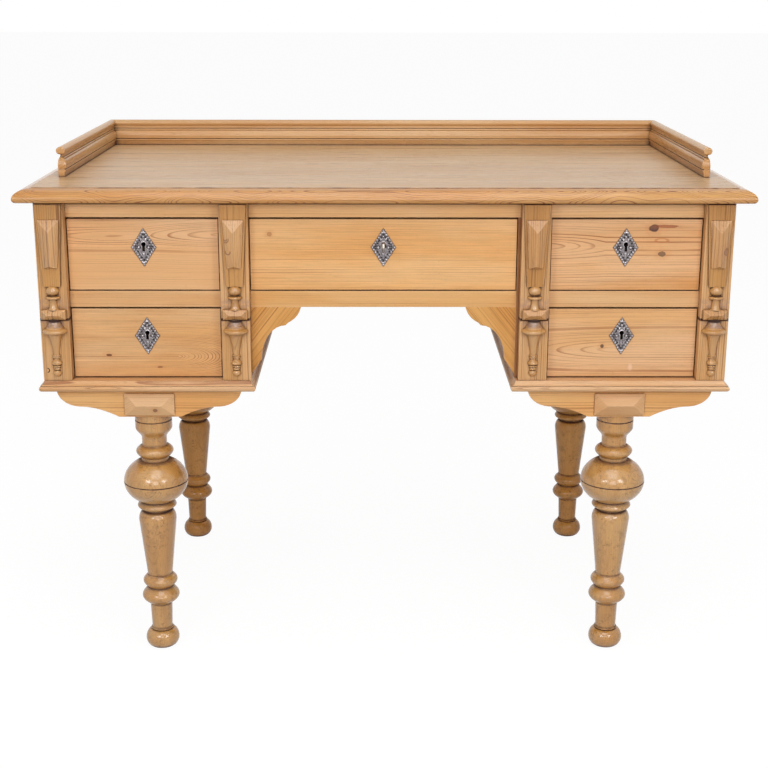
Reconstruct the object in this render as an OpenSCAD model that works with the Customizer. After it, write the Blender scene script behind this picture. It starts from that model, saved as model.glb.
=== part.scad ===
// Pine writing table: a moulded top with a low gallery, five drawers, four pilasters with split
// turnings, and two pedestals that stand on bearers and turned legs.
// Frame: origin on the floor under the middle of the top, +X to the right, +Y to the back, +Z up.

/* [Top] */
// Height of the writing surface over the floor
desk_h = 788; // [740:4:860]
// Width of the top over its moulded ends
top_w = 1140; // [1000:10:1300]
// Depth of the top
top_d = 624; // [560:4:700]
// Thickness of the top
top_t = 22; // [18:1:30]
// Width of the thumbnail moulding round the edge
thumb_w = 24; // [16:1:30]
// Height of the small step at the moulding's inner line
thumb_step = 1.2; // [0.6:0.2:2.4]
// Radius under the nose of the top
top_nose_r = 6.5; // [4:0.5:9]
// Overhang of the top past the carcass at each end
end_overhang = 27; // [16:1:34]
// Overhang of the top past the faces of the pilasters
front_overhang = 24; // [14:1:32]
// Overhang of the top past the back of the carcass
back_overhang = 10; // [4:1:20]

/* [Gallery] */
// Height of the gallery over the top
gallery_h = 48; // [42:1:60]
// Setback of the gallery's outer line from the ends of the top
gallery_end_in = 43; // [30:1:60]
// Setback of the gallery's outer line from the back edge of the top
gallery_back_in = 3; // [2:0.5:8]
// Length of the side rails of the gallery
gallery_side_l = 479; // [380:1:540]
// Width of the roll along the gallery's top
roll_w = 14; // [12.5:0.5:18]
// Height of the roll
roll_h = 12; // [9:0.5:12]
// Overhang of the roll past the rail's outer line
roll_out = 1.7; // [1:0.1:2.6]
// Thickness of the gallery rail at its belly
rail_belly = 13.5; // [12:0.5:15]
// Thickness of the rail at the neck under the roll
rail_neck = 4.5; // [3.5:0.5:5.5]
// Thickness of the rail where it stands on the top
rail_foot = 9; // [7:0.5:10.5]
// Height of the plinth band at the rail's foot
rail_plinth_h = 12; // [9:0.5:14]
// Setback of the neck behind the plinth at the front end of a side rail
rail_end_in = 8; // [5:0.5:14]

/* [Carcass] */
// Width of the kneehole between the inner pilasters
knee_w = 426; // [360:2:480]
// Height of the openings for the upper drawers
upper_h = 117; // [90:1:140]
// Height of the openings for the lower drawers
lower_h = 116; // [96:1:150]
// Height of the top rails
top_rail_h = 27; // [22:1:36]
// Depth of the top rails, front to back
top_rail_d = 70; // [50:1:90]
// Height of the rails under the upper drawers
mid_rail_h = 26; // [20:1:34]
// Depth of those rails, front to back
mid_rail_d = 60; // [40:1:80]
// Thickness of the side panels and partitions
panel_t = 22; // [16:1:26]
// Width of the right partition's front edge that shows beside its pilaster
lip_w = 5; // [2:0.5:8]
// Depth of that edge
lip_d = 22; // [18:1:30]
// Thickness of the back panels
back_t = 12; // [8:1:16]
// Depth of the rabbet that holds the back panels in the side panels
rabbet = 12; // [6:1:14]

/* [Base and bearers] */
// Thickness of the base boards
base_t = 17; // [14:1:22]
// Overhang of the base boards past the outer sides and past the inner pilasters
base_side_out = 7; // [4:0.5:12]
// Overhang of the base boards past the faces of the pilasters
base_front_out = 10; // [6:0.5:14]
// Height of the nose of the base boards
base_nose_h = 10; // [8:0.5:11]
// Width of the cove above that nose
base_cove_w = 6; // [3:0.5:7]
// Length of a bearer
bearer_l = 296; // [260:2:330]
// Height of a bearer
bearer_h = 46; // [40:1:56]
// Depth of a bearer, front to back
bearer_d = 64; // [52:1:80]
// Half-length of the flat under a bearer, where the leg stands
bearer_flat = 50; // [40:1:60]
// Length of the rounded end of a bearer
bearer_round = 38; // [24:1:50]
// Height at which the rounded end meets the long curve
bearer_rise = 17; // [10:1:24]
// Distance from the faces of the pilasters back to the front bearer
bearer_setback = 8; // [4:1:16]
// Distance from the back of the base board to the back bearer
bearer_back_in = 14; // [4:1:30]
// Width of the faceted block on a front bearer
block_w = 80; // [60:1:90]
// Height of that block
block_h = 36; // [28:1:40]
// Length of its ridge
block_ridge = 40; // [20:1:50]
// Thickness of the square edge of the block
block_edge = 3; // [2:0.5:5]
// Rise of the facets of the block over its edge
block_rise = 10; // [6:1:11]

/* [Leg] */
// Height of the bun foot
foot_h = 32; // [28:1:42]
// Radius of the bun foot
foot_r = 28; // [22:0.5:34]
// Radius of the foot's flat on the floor
foot_flat_r = 12.5; // [8:0.5:16]
// Height of the fillet on top of the foot
foot_fillet_h = 4; // [3:0.5:7]
// Radius of that fillet
foot_fillet_r = 18.8; // [18:0.2:22]
// Height of the ankle
ankle_h = 44; // [26:1:50]
// Radius of the ankle
ankle_r = 17; // [15:0.2:17.6]
// Height of the lowest ring over the ankle
low_ring_h = 30; // [24:1:42]
// Radius of the lowest ring
low_ring_r = 31; // [26:0.5:38]
// Height of the ring above it
mid_ring_h = 23; // [18:1:34]
// Radius of the ring above it
mid_ring_r = 28.5; // [25:0.5:36]
// Radius of the shaft at its foot
shaft_low_r = 20.6; // [19:0.2:23]
// Radius of the shaft at its head
shaft_top_r = 31; // [28:0.2:36]
// Height of the rounded shoulder over the shaft
shoulder_h = 16; // [8:1:20]
// Radius of the neck under the ball
under_neck_r = 22; // [21:0.5:26]
// Height of the ring under the ball
upper_ring_h = 17; // [12:1:24]
// Radius of the ring under the ball
upper_ring_r = 32; // [30:0.2:38]
// Height of the ball
ball_h = 70; // [60:1:84]
// Radius of the ball
ball_r = 52.5; // [44:0.5:62]
// Radius of the flats that end the ball
ball_end_r = 27; // [26:0.5:34]
// Depth of the scribed line round the ball
scribe_d = 1.4; // [0.6:0.2:1.6]
// Height of the ring over the ball
over_ring_h = 27; // [20:1:34]
// Radius of the ring over the ball
over_ring_r = 30.6; // [28:0.2:36]
// Height of the neck under the collar
neck_h = 13; // [8:1:20]
// Radius of the neck under the collar
neck_r = 20.2; // [19:0.2:22]
// Height of the flare from the neck to the collar
flare_h = 17; // [10:1:24]
// Height of the collar
collar_h = 26; // [20:1:32]
// Radius of the collar
collar_r = 30; // [28:0.2:36]
// Radius of the tenon that enters the bearer
tenon_r = 14; // [10:0.5:18]
// Length of the tenon
tenon_l = 38; // [26:1:38]

/* [Pilasters] */
// Width of a pilaster
post_w = 45; // [42:1:54]
// Thickness of a pilaster, proud of the drawer fronts
post_t = 18; // [12:1:22]
// Width of the tapered plaque at its top
plaque_w = 41; // [34:1:42]
// Width of the plaque at its foot
plaque_foot_w = 26; // [20:1:30]
// Thickness of the plaque
plaque_t = 4.5; // [3:0.5:6]
// Space between the top and the plaque
plaque_down = 4; // [2:0.5:10]
// Width of the faceted block on the plaque at its top
diamond_w = 33; // [24:1:33]
// Width of that block at its foot
diamond_foot_w = 22; // [16:1:24]
// Thickness of its square edge
diamond_edge = 1.5; // [1:0.5:2.5]
// Rise of its ridge over the edge
diamond_rise = 8; // [5:0.5:10]
// Space over the block on the plaque
diamond_down = 24; // [14:1:30]
// Space under the block on the plaque
diamond_up = 29; // [20:1:40]
// Depth of the upper facet, from the top edge to the ridge
diamond_facet = 19; // [10:1:24]
// Depth of the lower facet
diamond_heel = 5; // [3:1:10]
// Height of the half ball under the plaque
knop_h = 17; // [12:0.5:20]
// Radius of that half ball
knop_r = 10.5; // [9:0.5:14]
// Lap of the half ball over the plaque's foot
knop_lap = 2; // [1:0.5:4]
// Height of the ring under the half ball
ring_h = 5; // [4:0.5:8]
// Radius of that ring
ring_r = 11.5; // [9:0.5:12.5]
// Height of the waist under the ring
waist_h = 17; // [12:0.5:20]
// Radius of the waist
waist_r = 5.5; // [4.5:0.5:7]
// Width of the chamfered block under the waist
cap_w = 38; // [34:1:42]
// Height of that block
cap_h = 15; // [12:1:20]
// Thickness of the block's square edge
cap_edge = 7; // [4:1:10]
// Rise of the block's ridge over its square edge
cap_rise = 7; // [4:1:10]
// Length of that ridge
cap_ridge = 18; // [10:1:24]
// Height of that ridge over the block's foot
cap_ridge_z = 7.5; // [5:0.5:10]
// Height of the flare under the block
flute_h = 13; // [8:0.5:15]
// Radius at the head of the flare
flute_r = 9; // [6:0.5:11]
// Height of the half disc
disc_h = 13; // [10:0.5:16]
// Radius of the half disc
disc_r = 19.5; // [15:0.5:21]
// Radius of the vase under the disc at its head
vase_top_r = 10; // [8:0.5:12]
// Radius of the vase at its foot
vase_low_r = 5.2; // [4.6:0.1:6]
// Height of the collar under the vase
vase_ring_h = 6; // [4:0.5:7]
// Radius of that collar
vase_ring_r = 6.8; // [6:0.2:7.4]
// Height of the bell under the collar
bell_h = 11; // [9:0.5:15]
// Radius of the bell
bell_r = 8.6; // [7:0.2:10]
// Height of the fillet under the bell
drop_neck_h = 8; // [5:0.5:10]
// Radius of that fillet
drop_neck_r = 5; // [4:0.2:6]
// Radius of the drop at the foot
drop_r = 6.8; // [6:0.2:8]
// Space between the drop and the base board
drop_clear = 7; // [4:0.5:12]

/* [Spandrels] */
// Reach of a spandrel from the pilaster along the rail
spandrel_reach = 80; // [66:1:110]
// Drop of a spandrel below the rail
spandrel_drop = 110; // [90:1:112]
// Thickness of a spandrel
spandrel_t = 16; // [12:1:20]
// Radius of the rounded tip
spandrel_tip_r = 36; // [30:1:40]
// Size of the small step after the tip
spandrel_step = 4.5; // [2:0.5:6]
// Distance from the pilaster to the foot of the hollow
spandrel_heel = 16; // [12:1:22]
// Height of the straight slope at the foot
spandrel_foot_h = 24; // [14:1:30]

/* [Drawers] */
// Gap beside and under a drawer front
front_gap = 1.5; // [1:0.1:2.5]
// Gap over a drawer front
head_gap = 3; // [1.5:0.1:4]
// Thickness of a drawer front
front_t = 20; // [18:1:24]
// Thickness of the sides of a drawer
side_t = 12; // [9:0.5:14]
// Thickness of the back of a drawer
tail_board_t = 12; // [9:0.5:14]
// Thickness of the bottom of a drawer
bottom_t = 6; // [4:0.5:9]
// Height of the bottom over the lower edge of the sides
bottom_up = 8; // [5:0.5:12]
// Depth of the grooves that hold the bottom
groove_d = 6; // [3:0.5:7]
// Space between a drawer and the back panels
drawer_room = 30; // [24:2:90]
// Height that the sides stay below the top of the opening
side_down = 6; // [4:0.5:14]
// Height that the back stays below the sides
back_down = 4; // [2:0.5:10]
// Length of the dovetails in a drawer front
tail_l = 14; // [8:0.5:15]
// Number of dovetails in each corner
tail_count = 3; // [2:1:5]
// Part of each dovetail's share of the height that is wood at its narrow end
tail_fill = 0.5; // [0.4:0.05:0.6]
// Spread of a dovetail at each side of its wide end
tail_spread = 2.5; // [1:0.5:4]
// Clearance between a drawer and its runners
run_clear = 0.3; // [0.2:0.05:0.8]
// Clearance between a drawer and its guides
guide_clear = 0.6; // [0.3:0.1:1]
// Thickness of the runners
runner_t = 18; // [12:1:20]
// Width of a runner under the side of a drawer
runner_under = 26; // [14:1:40]
// Height of the guides over the runners
guide_h = 16; // [10:1:30]
// Setback of the lower guides behind the drawer fronts
guide_setback = 60; // [30:1:80]

/* [Locks] */
// Height of a keyhole over the middle of its opening
keyhole_up = 16; // [8:1:20]
// Radius of the round part of the keyhole
keyhole_r = 3.4; // [3:0.2:4.6]
// Width of the slot under it
keyslot_w = 3.8; // [3:0.2:5]
// Depth of the slot below the centre of the hole
keyslot_l = 11; // [9.5:0.5:14]
// Width of a lock case
case_w = 56; // [50:1:70]
// Depth of a lock case let into the front
case_d = 10; // [8:0.5:11]
// Height of a lock case below the keyhole
case_below = 18; // [15:1:24]
// Wall of a lock case
case_wall = 1.5; // [1:0.25:2]
// Width of the fixing ears at each side of a case
ear_w = 9; // [7:0.5:12]
// Thickness of the cover plate and its ears
plate_t = 1.5; // [1:0.25:2]
// Width of a lock bolt
bolt_w = 18; // [12:1:24]
// Thickness of a lock bolt
bolt_t = 4; // [3:0.5:4.5]
// Travel of a lock bolt
bolt_throw = 8; // [5:0.5:9]
// Width of the plate that carries the bolt
bolt_plate_w = 34; // [30:1:40]
// Clearance round a bolt
bolt_clear = 0.4; // [0.2:0.1:0.8]
// Radius of the window in that plate, in which the bit turns
window_r = 12; // [11.5:0.1:12.5]
// Spare depth of the mortises over the bolts
mortise_spare = 4; // [1:0.5:5]
// Radius of the screws that hold a lock
screw_r = 1.6; // [1.2:0.1:2]
// Length of those screws
screw_l = 10; // [6:0.5:12]
// Height of the ear screws over the middle of the case
ear_screw_up = 12; // [4:1:16]

/* [Key] */
// Radius of the stem of the key
stem_r = 2.5; // [2:0.1:2.8]
// Reach of the key in front of the drawer front
key_reach = 35; // [30:1:40]
// Outer radius of the bow
bow_r = 8.5; // [7:0.5:12]
// Radius of the hole in the bow
bow_hole_r = 5.4; // [4:0.2:6]
// Thickness of the bow
bow_t = 3; // [2:0.5:4]
// Radius of the collar on the stem
key_collar_r = 4.4; // [4:0.1:5]
// Length of the bit from the axis
bit_l = 8.6; // [7:0.2:9]
// Thickness of the bit
bit_t = 2.6; // [2:0.2:2.8]
// Height of the bit along the stem
bit_h = 4; // [3:0.5:4.5]
// Radius of the tip that turns in the lock's cover plate
key_tip_r = 1.6; // [1.2:0.1:1.8]
// Running clearance of the tip
key_run = 0.06; // [0.02:0.01:0.1]

/* [Escutcheons] */
// Width of an escutcheon
plate_w = 39; // [34:1:44]
// Height of an escutcheon
plate_h = 59; // [54:1:62]
// Distance from the keyhole down to the middle of the escutcheon
shield_down = 5; // [4:0.5:6]
// Thickness of an escutcheon
shield_t = 1.2; // [1:0.1:2]
// Number of beads along each edge
bead_count = 7; // [4:1:9]
// Radius of the beads
bead_r = 2.1; // [1.6:0.1:2.6]
// Number of pierced holes along each edge
pierce_count = 4; // [2:1:4]
// Radius of the pierced holes
pierce_r = 1; // [0.6:0.1:1.2]
// Distance of the pierced holes from the middle of the edge beads
pierce_in = 3.2; // [2.8:0.2:4]
// Half-width of the raised panel round the keyhole
panel_half = 13; // [11:0.5:14]
// Rise of that panel over the plate
panel_rise = 0.5; // [0.3:0.1:1]
// Distance of the two bosses from the middle
boss_x = 7.5; // [7:0.1:9]
// Radius of a boss
boss_r = 1.9; // [1.2:0.1:2]
// Rise of a boss over the panel
boss_rise = 1; // [0.5:0.1:1.5]
// Thickness of the ring round the keyhole
ring_wall = 1.4; // [1:0.1:1.6]
// Rise of that ring over the plate
ring_rise = 1; // [0.8:0.1:1.6]
// Radius of the pins
pin_r = 0.8; // [0.6:0.1:1]
// Length of the pins
pin_l = 9; // [6:0.5:12]

/* [Hidden] */
$fn = 48;

pine = "#c99a62";
pale_pine = "#d3a876";
leg_pine = "#b88a4e";
pewter = "#8d8a84";
brass = "#b59a5a";
iron = "#6a655f";

// Extra length of a cutting shape past the face that it opens
cut = 1;
// Segments in each worked-out arc
arc_n = 8;
// Glue line between pieces that are listed under one name
glue = 0.05;

// Heights, from the writing surface down
under_z = desk_h - top_t;
head_z = under_z - top_rail_h;
upper_z = head_z - upper_h;
mid_z = upper_z - mid_rail_h;
floor_z = mid_z - lower_h;
base_z = floor_z - base_t;
leg_h = base_z - bearer_h;

// Widths, from the middle out
half_w = top_w / 2 - end_overhang;
inner_post_x = knee_w / 2 + post_w / 2;
outer_post_x = half_w - post_w / 2;
post_xs = [-outer_post_x, -inner_post_x, inner_post_x, outer_post_x];
open_in = knee_w / 2 + post_w;
open_out = half_w - post_w;
pedestal_x = (open_in + open_out) / 2;
opening_w = open_out - open_in;
panel_in = half_w - panel_t;
part_in = inner_post_x - panel_t / 2;
part_out = inner_post_x + panel_t / 2;
// Half-width of the kneehole on one side, and the middle of its opening
function knee_edge(side) = side < 0 ? knee_w / 2 : knee_w / 2 - lip_w;
knee_mid = -lip_w / 2;

// Depths, from the front to the back
post_y = -top_d / 2 + front_overhang;
face_y = post_y + post_t;
back_y = top_d / 2 - back_overhang;
inside_y = back_y - back_t;
drawer_back_y = inside_y - drawer_room;

// Places of the legs and bearers
bearer_front_y = post_y + bearer_setback + bearer_d / 2;
bearer_back_y = back_y - bearer_back_in - bearer_d / 2;
tenon_clear = 0.1;
tenon_hole_spare = 2;

// Points on an arc of an ellipse
function arc(cx, cy, rx, ry, a0, a1, n = arc_n) =
  [for (i = [0:n]) let (a = a0 + (a1 - a0) * i / n) [cx + rx * cos(a), cy + ry * sin(a)]];

// Points on a turned bead that rises from radius ra at height za to r and back to rb at zb.
// A fall of 1 makes it full and round, a larger one hollows its sides
function bead(za, zb, ra, rb, r, n = 12, fall = 1) =
  [for (i = [0:n])
    let (a = 180 * i / n, t = (1 - cos(a)) / 2, base = ra + (rb - ra) * t)
    [base + (r - base) * pow(abs(sin(a)), fall), za + (zb - za) * t]];

// An edge outline, as [inset, height] points, turned into a board's cross-section
function nosed(low, high, edge) =
  concat([for (p = edge) [low + p[0], p[1]]],
    [for (i = [len(edge) - 1:-1:0]) [high - edge[i][0], edge[i][1]]]);
function nosed_front(low, high, edge, t) =
  concat([for (p = edge) [low + p[0], p[1]]], [[high, t], [high, 0]]);

module along_x(x0, x1) {
  translate([x0, 0, 0]) rotate([90, 0, 90]) linear_extrude(height = x1 - x0) children();
}
module along_y(y0, y1) {
  translate([0, y1, 0]) rotate([90, 0, 0]) linear_extrude(height = y1 - y0) children();
}
module block(low, high) {
  translate(low) cube(high - low);
}
module mirrored(side) {
  if (side < 0) mirror([1, 0, 0]) children();
  else children();
}

// Board with the same edge worked along its front and both ends, mitred at the corners
module moulded_board(x0, x1, y0, y1, z, t, edge) {
  translate([0, 0, z]) intersection() {
    along_x(x0, x1) polygon(nosed_front(y0, y1, edge, t));
    along_y(y0, y1) polygon(nosed(x0, x1, edge));
  }
}

// Thumbnail edge of the top, from its underside to the step at the flat
nose_turn = 8;
top_edge = concat(
  arc(top_nose_r, top_nose_r, top_nose_r, top_nose_r, 270, 180),
  arc(thumb_w, top_nose_r, thumb_w, top_t - thumb_step - top_nose_r, 180 - nose_turn, 90),
  [[thumb_w, top_t]]);

module top_board() {
  color(pale_pine)
    moulded_board(-top_w / 2, top_w / 2, -top_d / 2, top_d / 2, under_z, top_t, top_edge);
}

// Cross-section of the gallery rail: x is zero at its outer line and negative to the inside
gallery_line_x = top_w / 2 - gallery_end_in;
gallery_line_y = top_d / 2 - gallery_back_in;
gallery_front_y = gallery_line_y - gallery_side_l;
roll_r = roll_h / 2;
neck_z = gallery_h - roll_h;
neck_out = 3.5;
neck_in = -neck_out - rail_neck;
fillet_w = 1.5;
fillet_h = 3.5;
rail_bead_w = 2.2;
rail_bead_h = 3.5;
body_top_z = neck_z - fillet_h - 1;
quirk = 1.5;
quirk_d = 3;
belly_z = rail_plinth_h + quirk;
belly_mid_z = belly_z + 4;
foot_out = 1;
plinth_in = 1.2;
module gallery_section() {
  arch_z = body_top_z - rail_bead_h;
  bead_in = neck_in - rail_bead_w;
  arch_in = neck_in - 0.7 * rail_bead_w;
  plinth_round = 0.8 * rail_plinth_h;
  polygon(concat(
    [[-foot_out, 0], [-foot_out / 2, rail_plinth_h / 2]],
    arc(-neck_out, belly_mid_z, neck_out, body_top_z - belly_mid_z, 0, 80),
    [[-neck_out, neck_z - foot_out], [-neck_out, neck_z + roll_r]],
    [[neck_in, neck_z + roll_r], [neck_in - fillet_w, neck_z + roll_r / 2]],
    [[neck_in - fillet_w, neck_z - fillet_h], [neck_in, neck_z - fillet_h]],
    [[neck_in, body_top_z], [arch_in, body_top_z]],
    [[bead_in, body_top_z - rail_bead_h / 2], [arch_in, arch_z]],
    arc(arch_in, belly_mid_z, rail_belly + arch_in, arch_z - belly_mid_z, 80, 180),
    [[quirk_d / 8 - rail_belly, belly_z], [quirk_d - rail_belly, belly_z]],
    [[quirk_d - rail_belly, rail_plinth_h], [plinth_in - rail_belly, rail_plinth_h]],
    arc(plinth_in - rail_belly, 0, rail_belly - plinth_in - foot_out - rail_foot, plinth_round,
      90, 0)));
  translate([roll_out - roll_r, neck_z + roll_r]) circle(r = roll_r);
  translate([roll_out - roll_w + roll_r, neck_z + roll_r]) circle(r = roll_r);
  translate([roll_out - roll_w + roll_r, neck_z]) square([roll_w - roll_h, roll_h]);
}
// Front end of a side rail seen from the side: its mouldings turn back round the end
module rail_end_outline() {
  nose_r = roll_h / 4;
  polygon(concat(
    [[2 * gallery_side_l, 0], [0, 0], [0, rail_plinth_h], [quirk, rail_plinth_h], [quirk, belly_z]],
    arc(rail_end_in, belly_mid_z, rail_end_in - foot_out, body_top_z - belly_mid_z, 180, 90),
    [[rail_end_in, neck_z]],
    arc(nose_r + foot_out, neck_z + nose_r, nose_r, nose_r, 270, 180),
    arc(nose_r + foot_out, gallery_h - nose_r, nose_r, nose_r, 180, 90),
    [[2 * gallery_side_l, gallery_h]]));
}
// Wedge that cuts the mitres at the back corners
module mitre_wedge() {
  reach = 40;
  linear_extrude(height = desk_h + gallery_h + cut)
    polygon([
      [-gallery_line_x - reach, gallery_line_y + reach],
      [gallery_line_x + reach, gallery_line_y + reach],
      [0, gallery_line_y - gallery_line_x]]);
}
module gallery_back() {
  color(pine) intersection() {
    translate([0, gallery_line_y, desk_h])
      along_x(-gallery_line_x - roll_w, gallery_line_x + roll_w) gallery_section();
    mitre_wedge();
  }
}
module gallery_side(side) {
  color(pine) mirrored(side) difference() {
    intersection() {
      translate([gallery_line_x, 0, desk_h])
        along_y(gallery_front_y, gallery_line_y + roll_w) gallery_section();
      translate([0, gallery_front_y, desk_h])
        along_x(gallery_line_x - roll_w, gallery_line_x + roll_w) rail_end_outline();
    }
    mitre_wedge();
  }
}

// Carcass
module top_rail_blank(y) {
  block([-panel_in, y, head_z], [panel_in, y + top_rail_d, under_z]);
}
module side_panel(side) {
  color(pine) mirrored(side) difference() {
    block([panel_in, face_y, floor_z], [half_w, back_y, under_z]);
    block([panel_in - cut, inside_y, floor_z - cut], [panel_in + rabbet, back_y + cut, under_z + cut]);
  }
}
// Front edge of the right partition, thickened towards the kneehole
module partition_lip() {
  block([knee_edge(1), face_y, floor_z], [part_in, face_y + lip_d, head_z]);
}
module partition(side) {
  color(pine) mirrored(side) difference() {
    union() {
      block([part_in, face_y, floor_z], [part_out, inside_y, under_z]);
      if (side > 0) partition_lip();
    }
    top_rail_blank(face_y);
    top_rail_blank(inside_y - top_rail_d);
  }
}
module back_panels() {
  color(pine) {
    for (side = [-1, 1]) mirrored(side)
      block([part_in, inside_y, floor_z], [panel_in + rabbet, back_y, under_z]);
    block([glue - part_in, inside_y, mid_z], [part_in - glue, back_y, under_z]);
  }
}

// Lock bolt mortises in the rails, one over each keyhole
mortise_clear = 1;
bolt_y = face_y + front_t - case_d / 2 - case_wall / 4;
module bolt_mortise(x, z) {
  depth = bolt_throw - head_gap + mortise_spare;
  half_x = bolt_w / 2 + mortise_clear;
  half_y = bolt_t / 2 + mortise_clear;
  block([x - half_x, bolt_y - half_y, z - cut], [x + half_x, bolt_y + half_y, z + depth]);
}
module top_rail_front() {
  color(pine) difference() {
    top_rail_blank(face_y);
    for (x = [-pedestal_x, knee_mid, pedestal_x]) bolt_mortise(x, head_z);
  }
}
module top_rail_back() {
  color(pine) top_rail_blank(inside_y - top_rail_d);
}
module mid_rail(side) {
  color(pine) mirrored(side) difference() {
    block([part_out, face_y, mid_z], [panel_in, face_y + mid_rail_d, upper_z]);
    bolt_mortise(pedestal_x, mid_z);
  }
}
module centre_rails() {
  color(pine) {
    difference() {
      block([-part_in, face_y, mid_z], [part_in, face_y + mid_rail_d, upper_z]);
      partition_lip();
    }
    block([-part_in, inside_y - mid_rail_d, mid_z], [part_in, inside_y, upper_z]);
  }
}

// Runners carry the upper drawers, and guides keep all five drawers square in their openings
pedestal_half = opening_w / 2 - front_gap;
centre_half = (knee_w - lip_w) / 2 - front_gap;
module runner(x_wall, x_free, y1) {
  block([min(x_wall, x_free), face_y + mid_rail_d, upper_z - runner_t],
    [max(x_wall, x_free), y1, upper_z]);
}
module drawer_runners() {
  color(pine) for (side = [-1, 1]) mirrored(side) {
    runner(panel_in, pedestal_x + pedestal_half - runner_under, inside_y);
    runner(part_out, pedestal_x - pedestal_half + runner_under, inside_y);
    runner(part_in, centre_half - runner_under, inside_y - mid_rail_d);
  }
}
module guide(x_wall, x_free, z, setback, y1) {
  block([min(x_wall, x_free), face_y + setback, z], [max(x_wall, x_free), y1, z + guide_h]);
}
module drawer_guides() {
  color(pine) for (side = [-1, 1]) mirrored(side) {
    for (z = [floor_z, upper_z]) {
      setback = z == upper_z ? mid_rail_d : guide_setback;
      guide(panel_in, pedestal_x + pedestal_half + guide_clear, z, setback, inside_y);
      guide(part_out, pedestal_x - pedestal_half - guide_clear, z, setback, inside_y);
    }
    guide(part_in, knee_edge(side) - front_gap + guide_clear, upper_z, mid_rail_d,
      inside_y - mid_rail_d);
  }
}

// Base board of a pedestal: a round nose with a cove above it, on the front and both sides
base_nose_r = base_nose_h / 2;
cove_in = 1.6;
cove_low = 0.4;
base_edge = concat(
  arc(base_nose_r, base_nose_r, base_nose_r, base_nose_r, 270, 120),
  arc(cove_in, base_t, base_cove_w, base_t - base_nose_h + cove_low, 270, 360));
module base_board(side) {
  color(pine) mirrored(side)
    moulded_board(knee_edge(side) - base_side_out, half_w + base_side_out,
      post_y - base_front_out, back_y, base_z, base_t, base_edge);
}

// Bearer: a board on edge with rounded ends and a long curve down to the leg
bearer_curve = 1.8;
bearer_turn_a = 6;
bearer_half = bearer_l / 2;
bearer_turn = bearer_half - bearer_round;
bearer_edge = concat(
  [[bearer_flat, 0]],
  [for (i = [1:arc_n])
    let (u = i / arc_n)
    [bearer_flat + (bearer_turn - bearer_flat) * u, bearer_rise * (1 - pow(1 - u, bearer_curve))]],
  arc(bearer_turn, bearer_h, bearer_round, bearer_h - bearer_rise, 270 + bearer_turn_a, 360));
bearer_outline = concat(bearer_edge,
  [for (i = [len(bearer_edge) - 1:-1:0]) [-bearer_edge[i][0], bearer_edge[i][1]]]);
module bearer(side, y) {
  color(pine) mirrored(side) difference() {
    translate([pedestal_x, 0, leg_h]) along_y(y - bearer_d / 2, y + bearer_d / 2)
      polygon(bearer_outline);
    translate([pedestal_x, y, leg_h - cut])
      cylinder(r = tenon_r + tenon_clear, h = tenon_l + tenon_hole_spare + cut);
  }
}

// Faceted block: a hipped form that rises to a level ridge at height ridge_z
module hipped_block(w, h, ridge_w, ridge_z, edge, rise) {
  top = edge + rise;
  intersection() {
    along_x(-w / 2, w / 2)
      polygon([[0, 0], [0, h], [-edge, h], [-top, ridge_z], [-edge, 0]]);
    linear_extrude(height = h)
      polygon([
        [-w / 2, 0], [w / 2, 0], [w / 2, -edge],
        [ridge_w / 2, -top], [-ridge_w / 2, -top], [-w / 2, -edge]]);
  }
}
module bearer_blocks() {
  block_up = 3;
  color(pale_pine) for (side = [-1, 1])
    translate([side * pedestal_x, bearer_front_y - bearer_d / 2, leg_h + block_up])
      hipped_block(block_w, block_h, block_ridge, block_h / 2, block_edge, block_rise);
}

// Leg, turned in one piece with its tenon. The shaft takes up what the rest leaves
shaft_h = leg_h - (foot_h + foot_fillet_h + ankle_h + low_ring_h + mid_ring_h + shoulder_h
  + upper_ring_h + ball_h + over_ring_h + neck_h + flare_h + collar_h);
ankle_z = foot_h + foot_fillet_h;
low_ring_z = ankle_z + ankle_h;
mid_ring_z = low_ring_z + low_ring_h;
shaft_z = mid_ring_z + mid_ring_h;
shoulder_z = shaft_z + shaft_h;
upper_ring_z = shoulder_z + shoulder_h;
ball_z = upper_ring_z + upper_ring_h;
over_ring_z = ball_z + ball_h;
neck_low_z = over_ring_z + over_ring_h;
flare_z = neck_low_z + neck_h;
collar_z = flare_z + flare_h;
// Half-height that the ball would have if its ends ran on to the axis
ball_full = ball_h / 2 / sqrt(1 - pow(ball_end_r / ball_r, 2));
ball_mid = ball_z + ball_h / 2;
function ball_radius(z) = ball_r * sqrt(1 - pow((z - ball_mid) / ball_full, 2));
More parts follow.
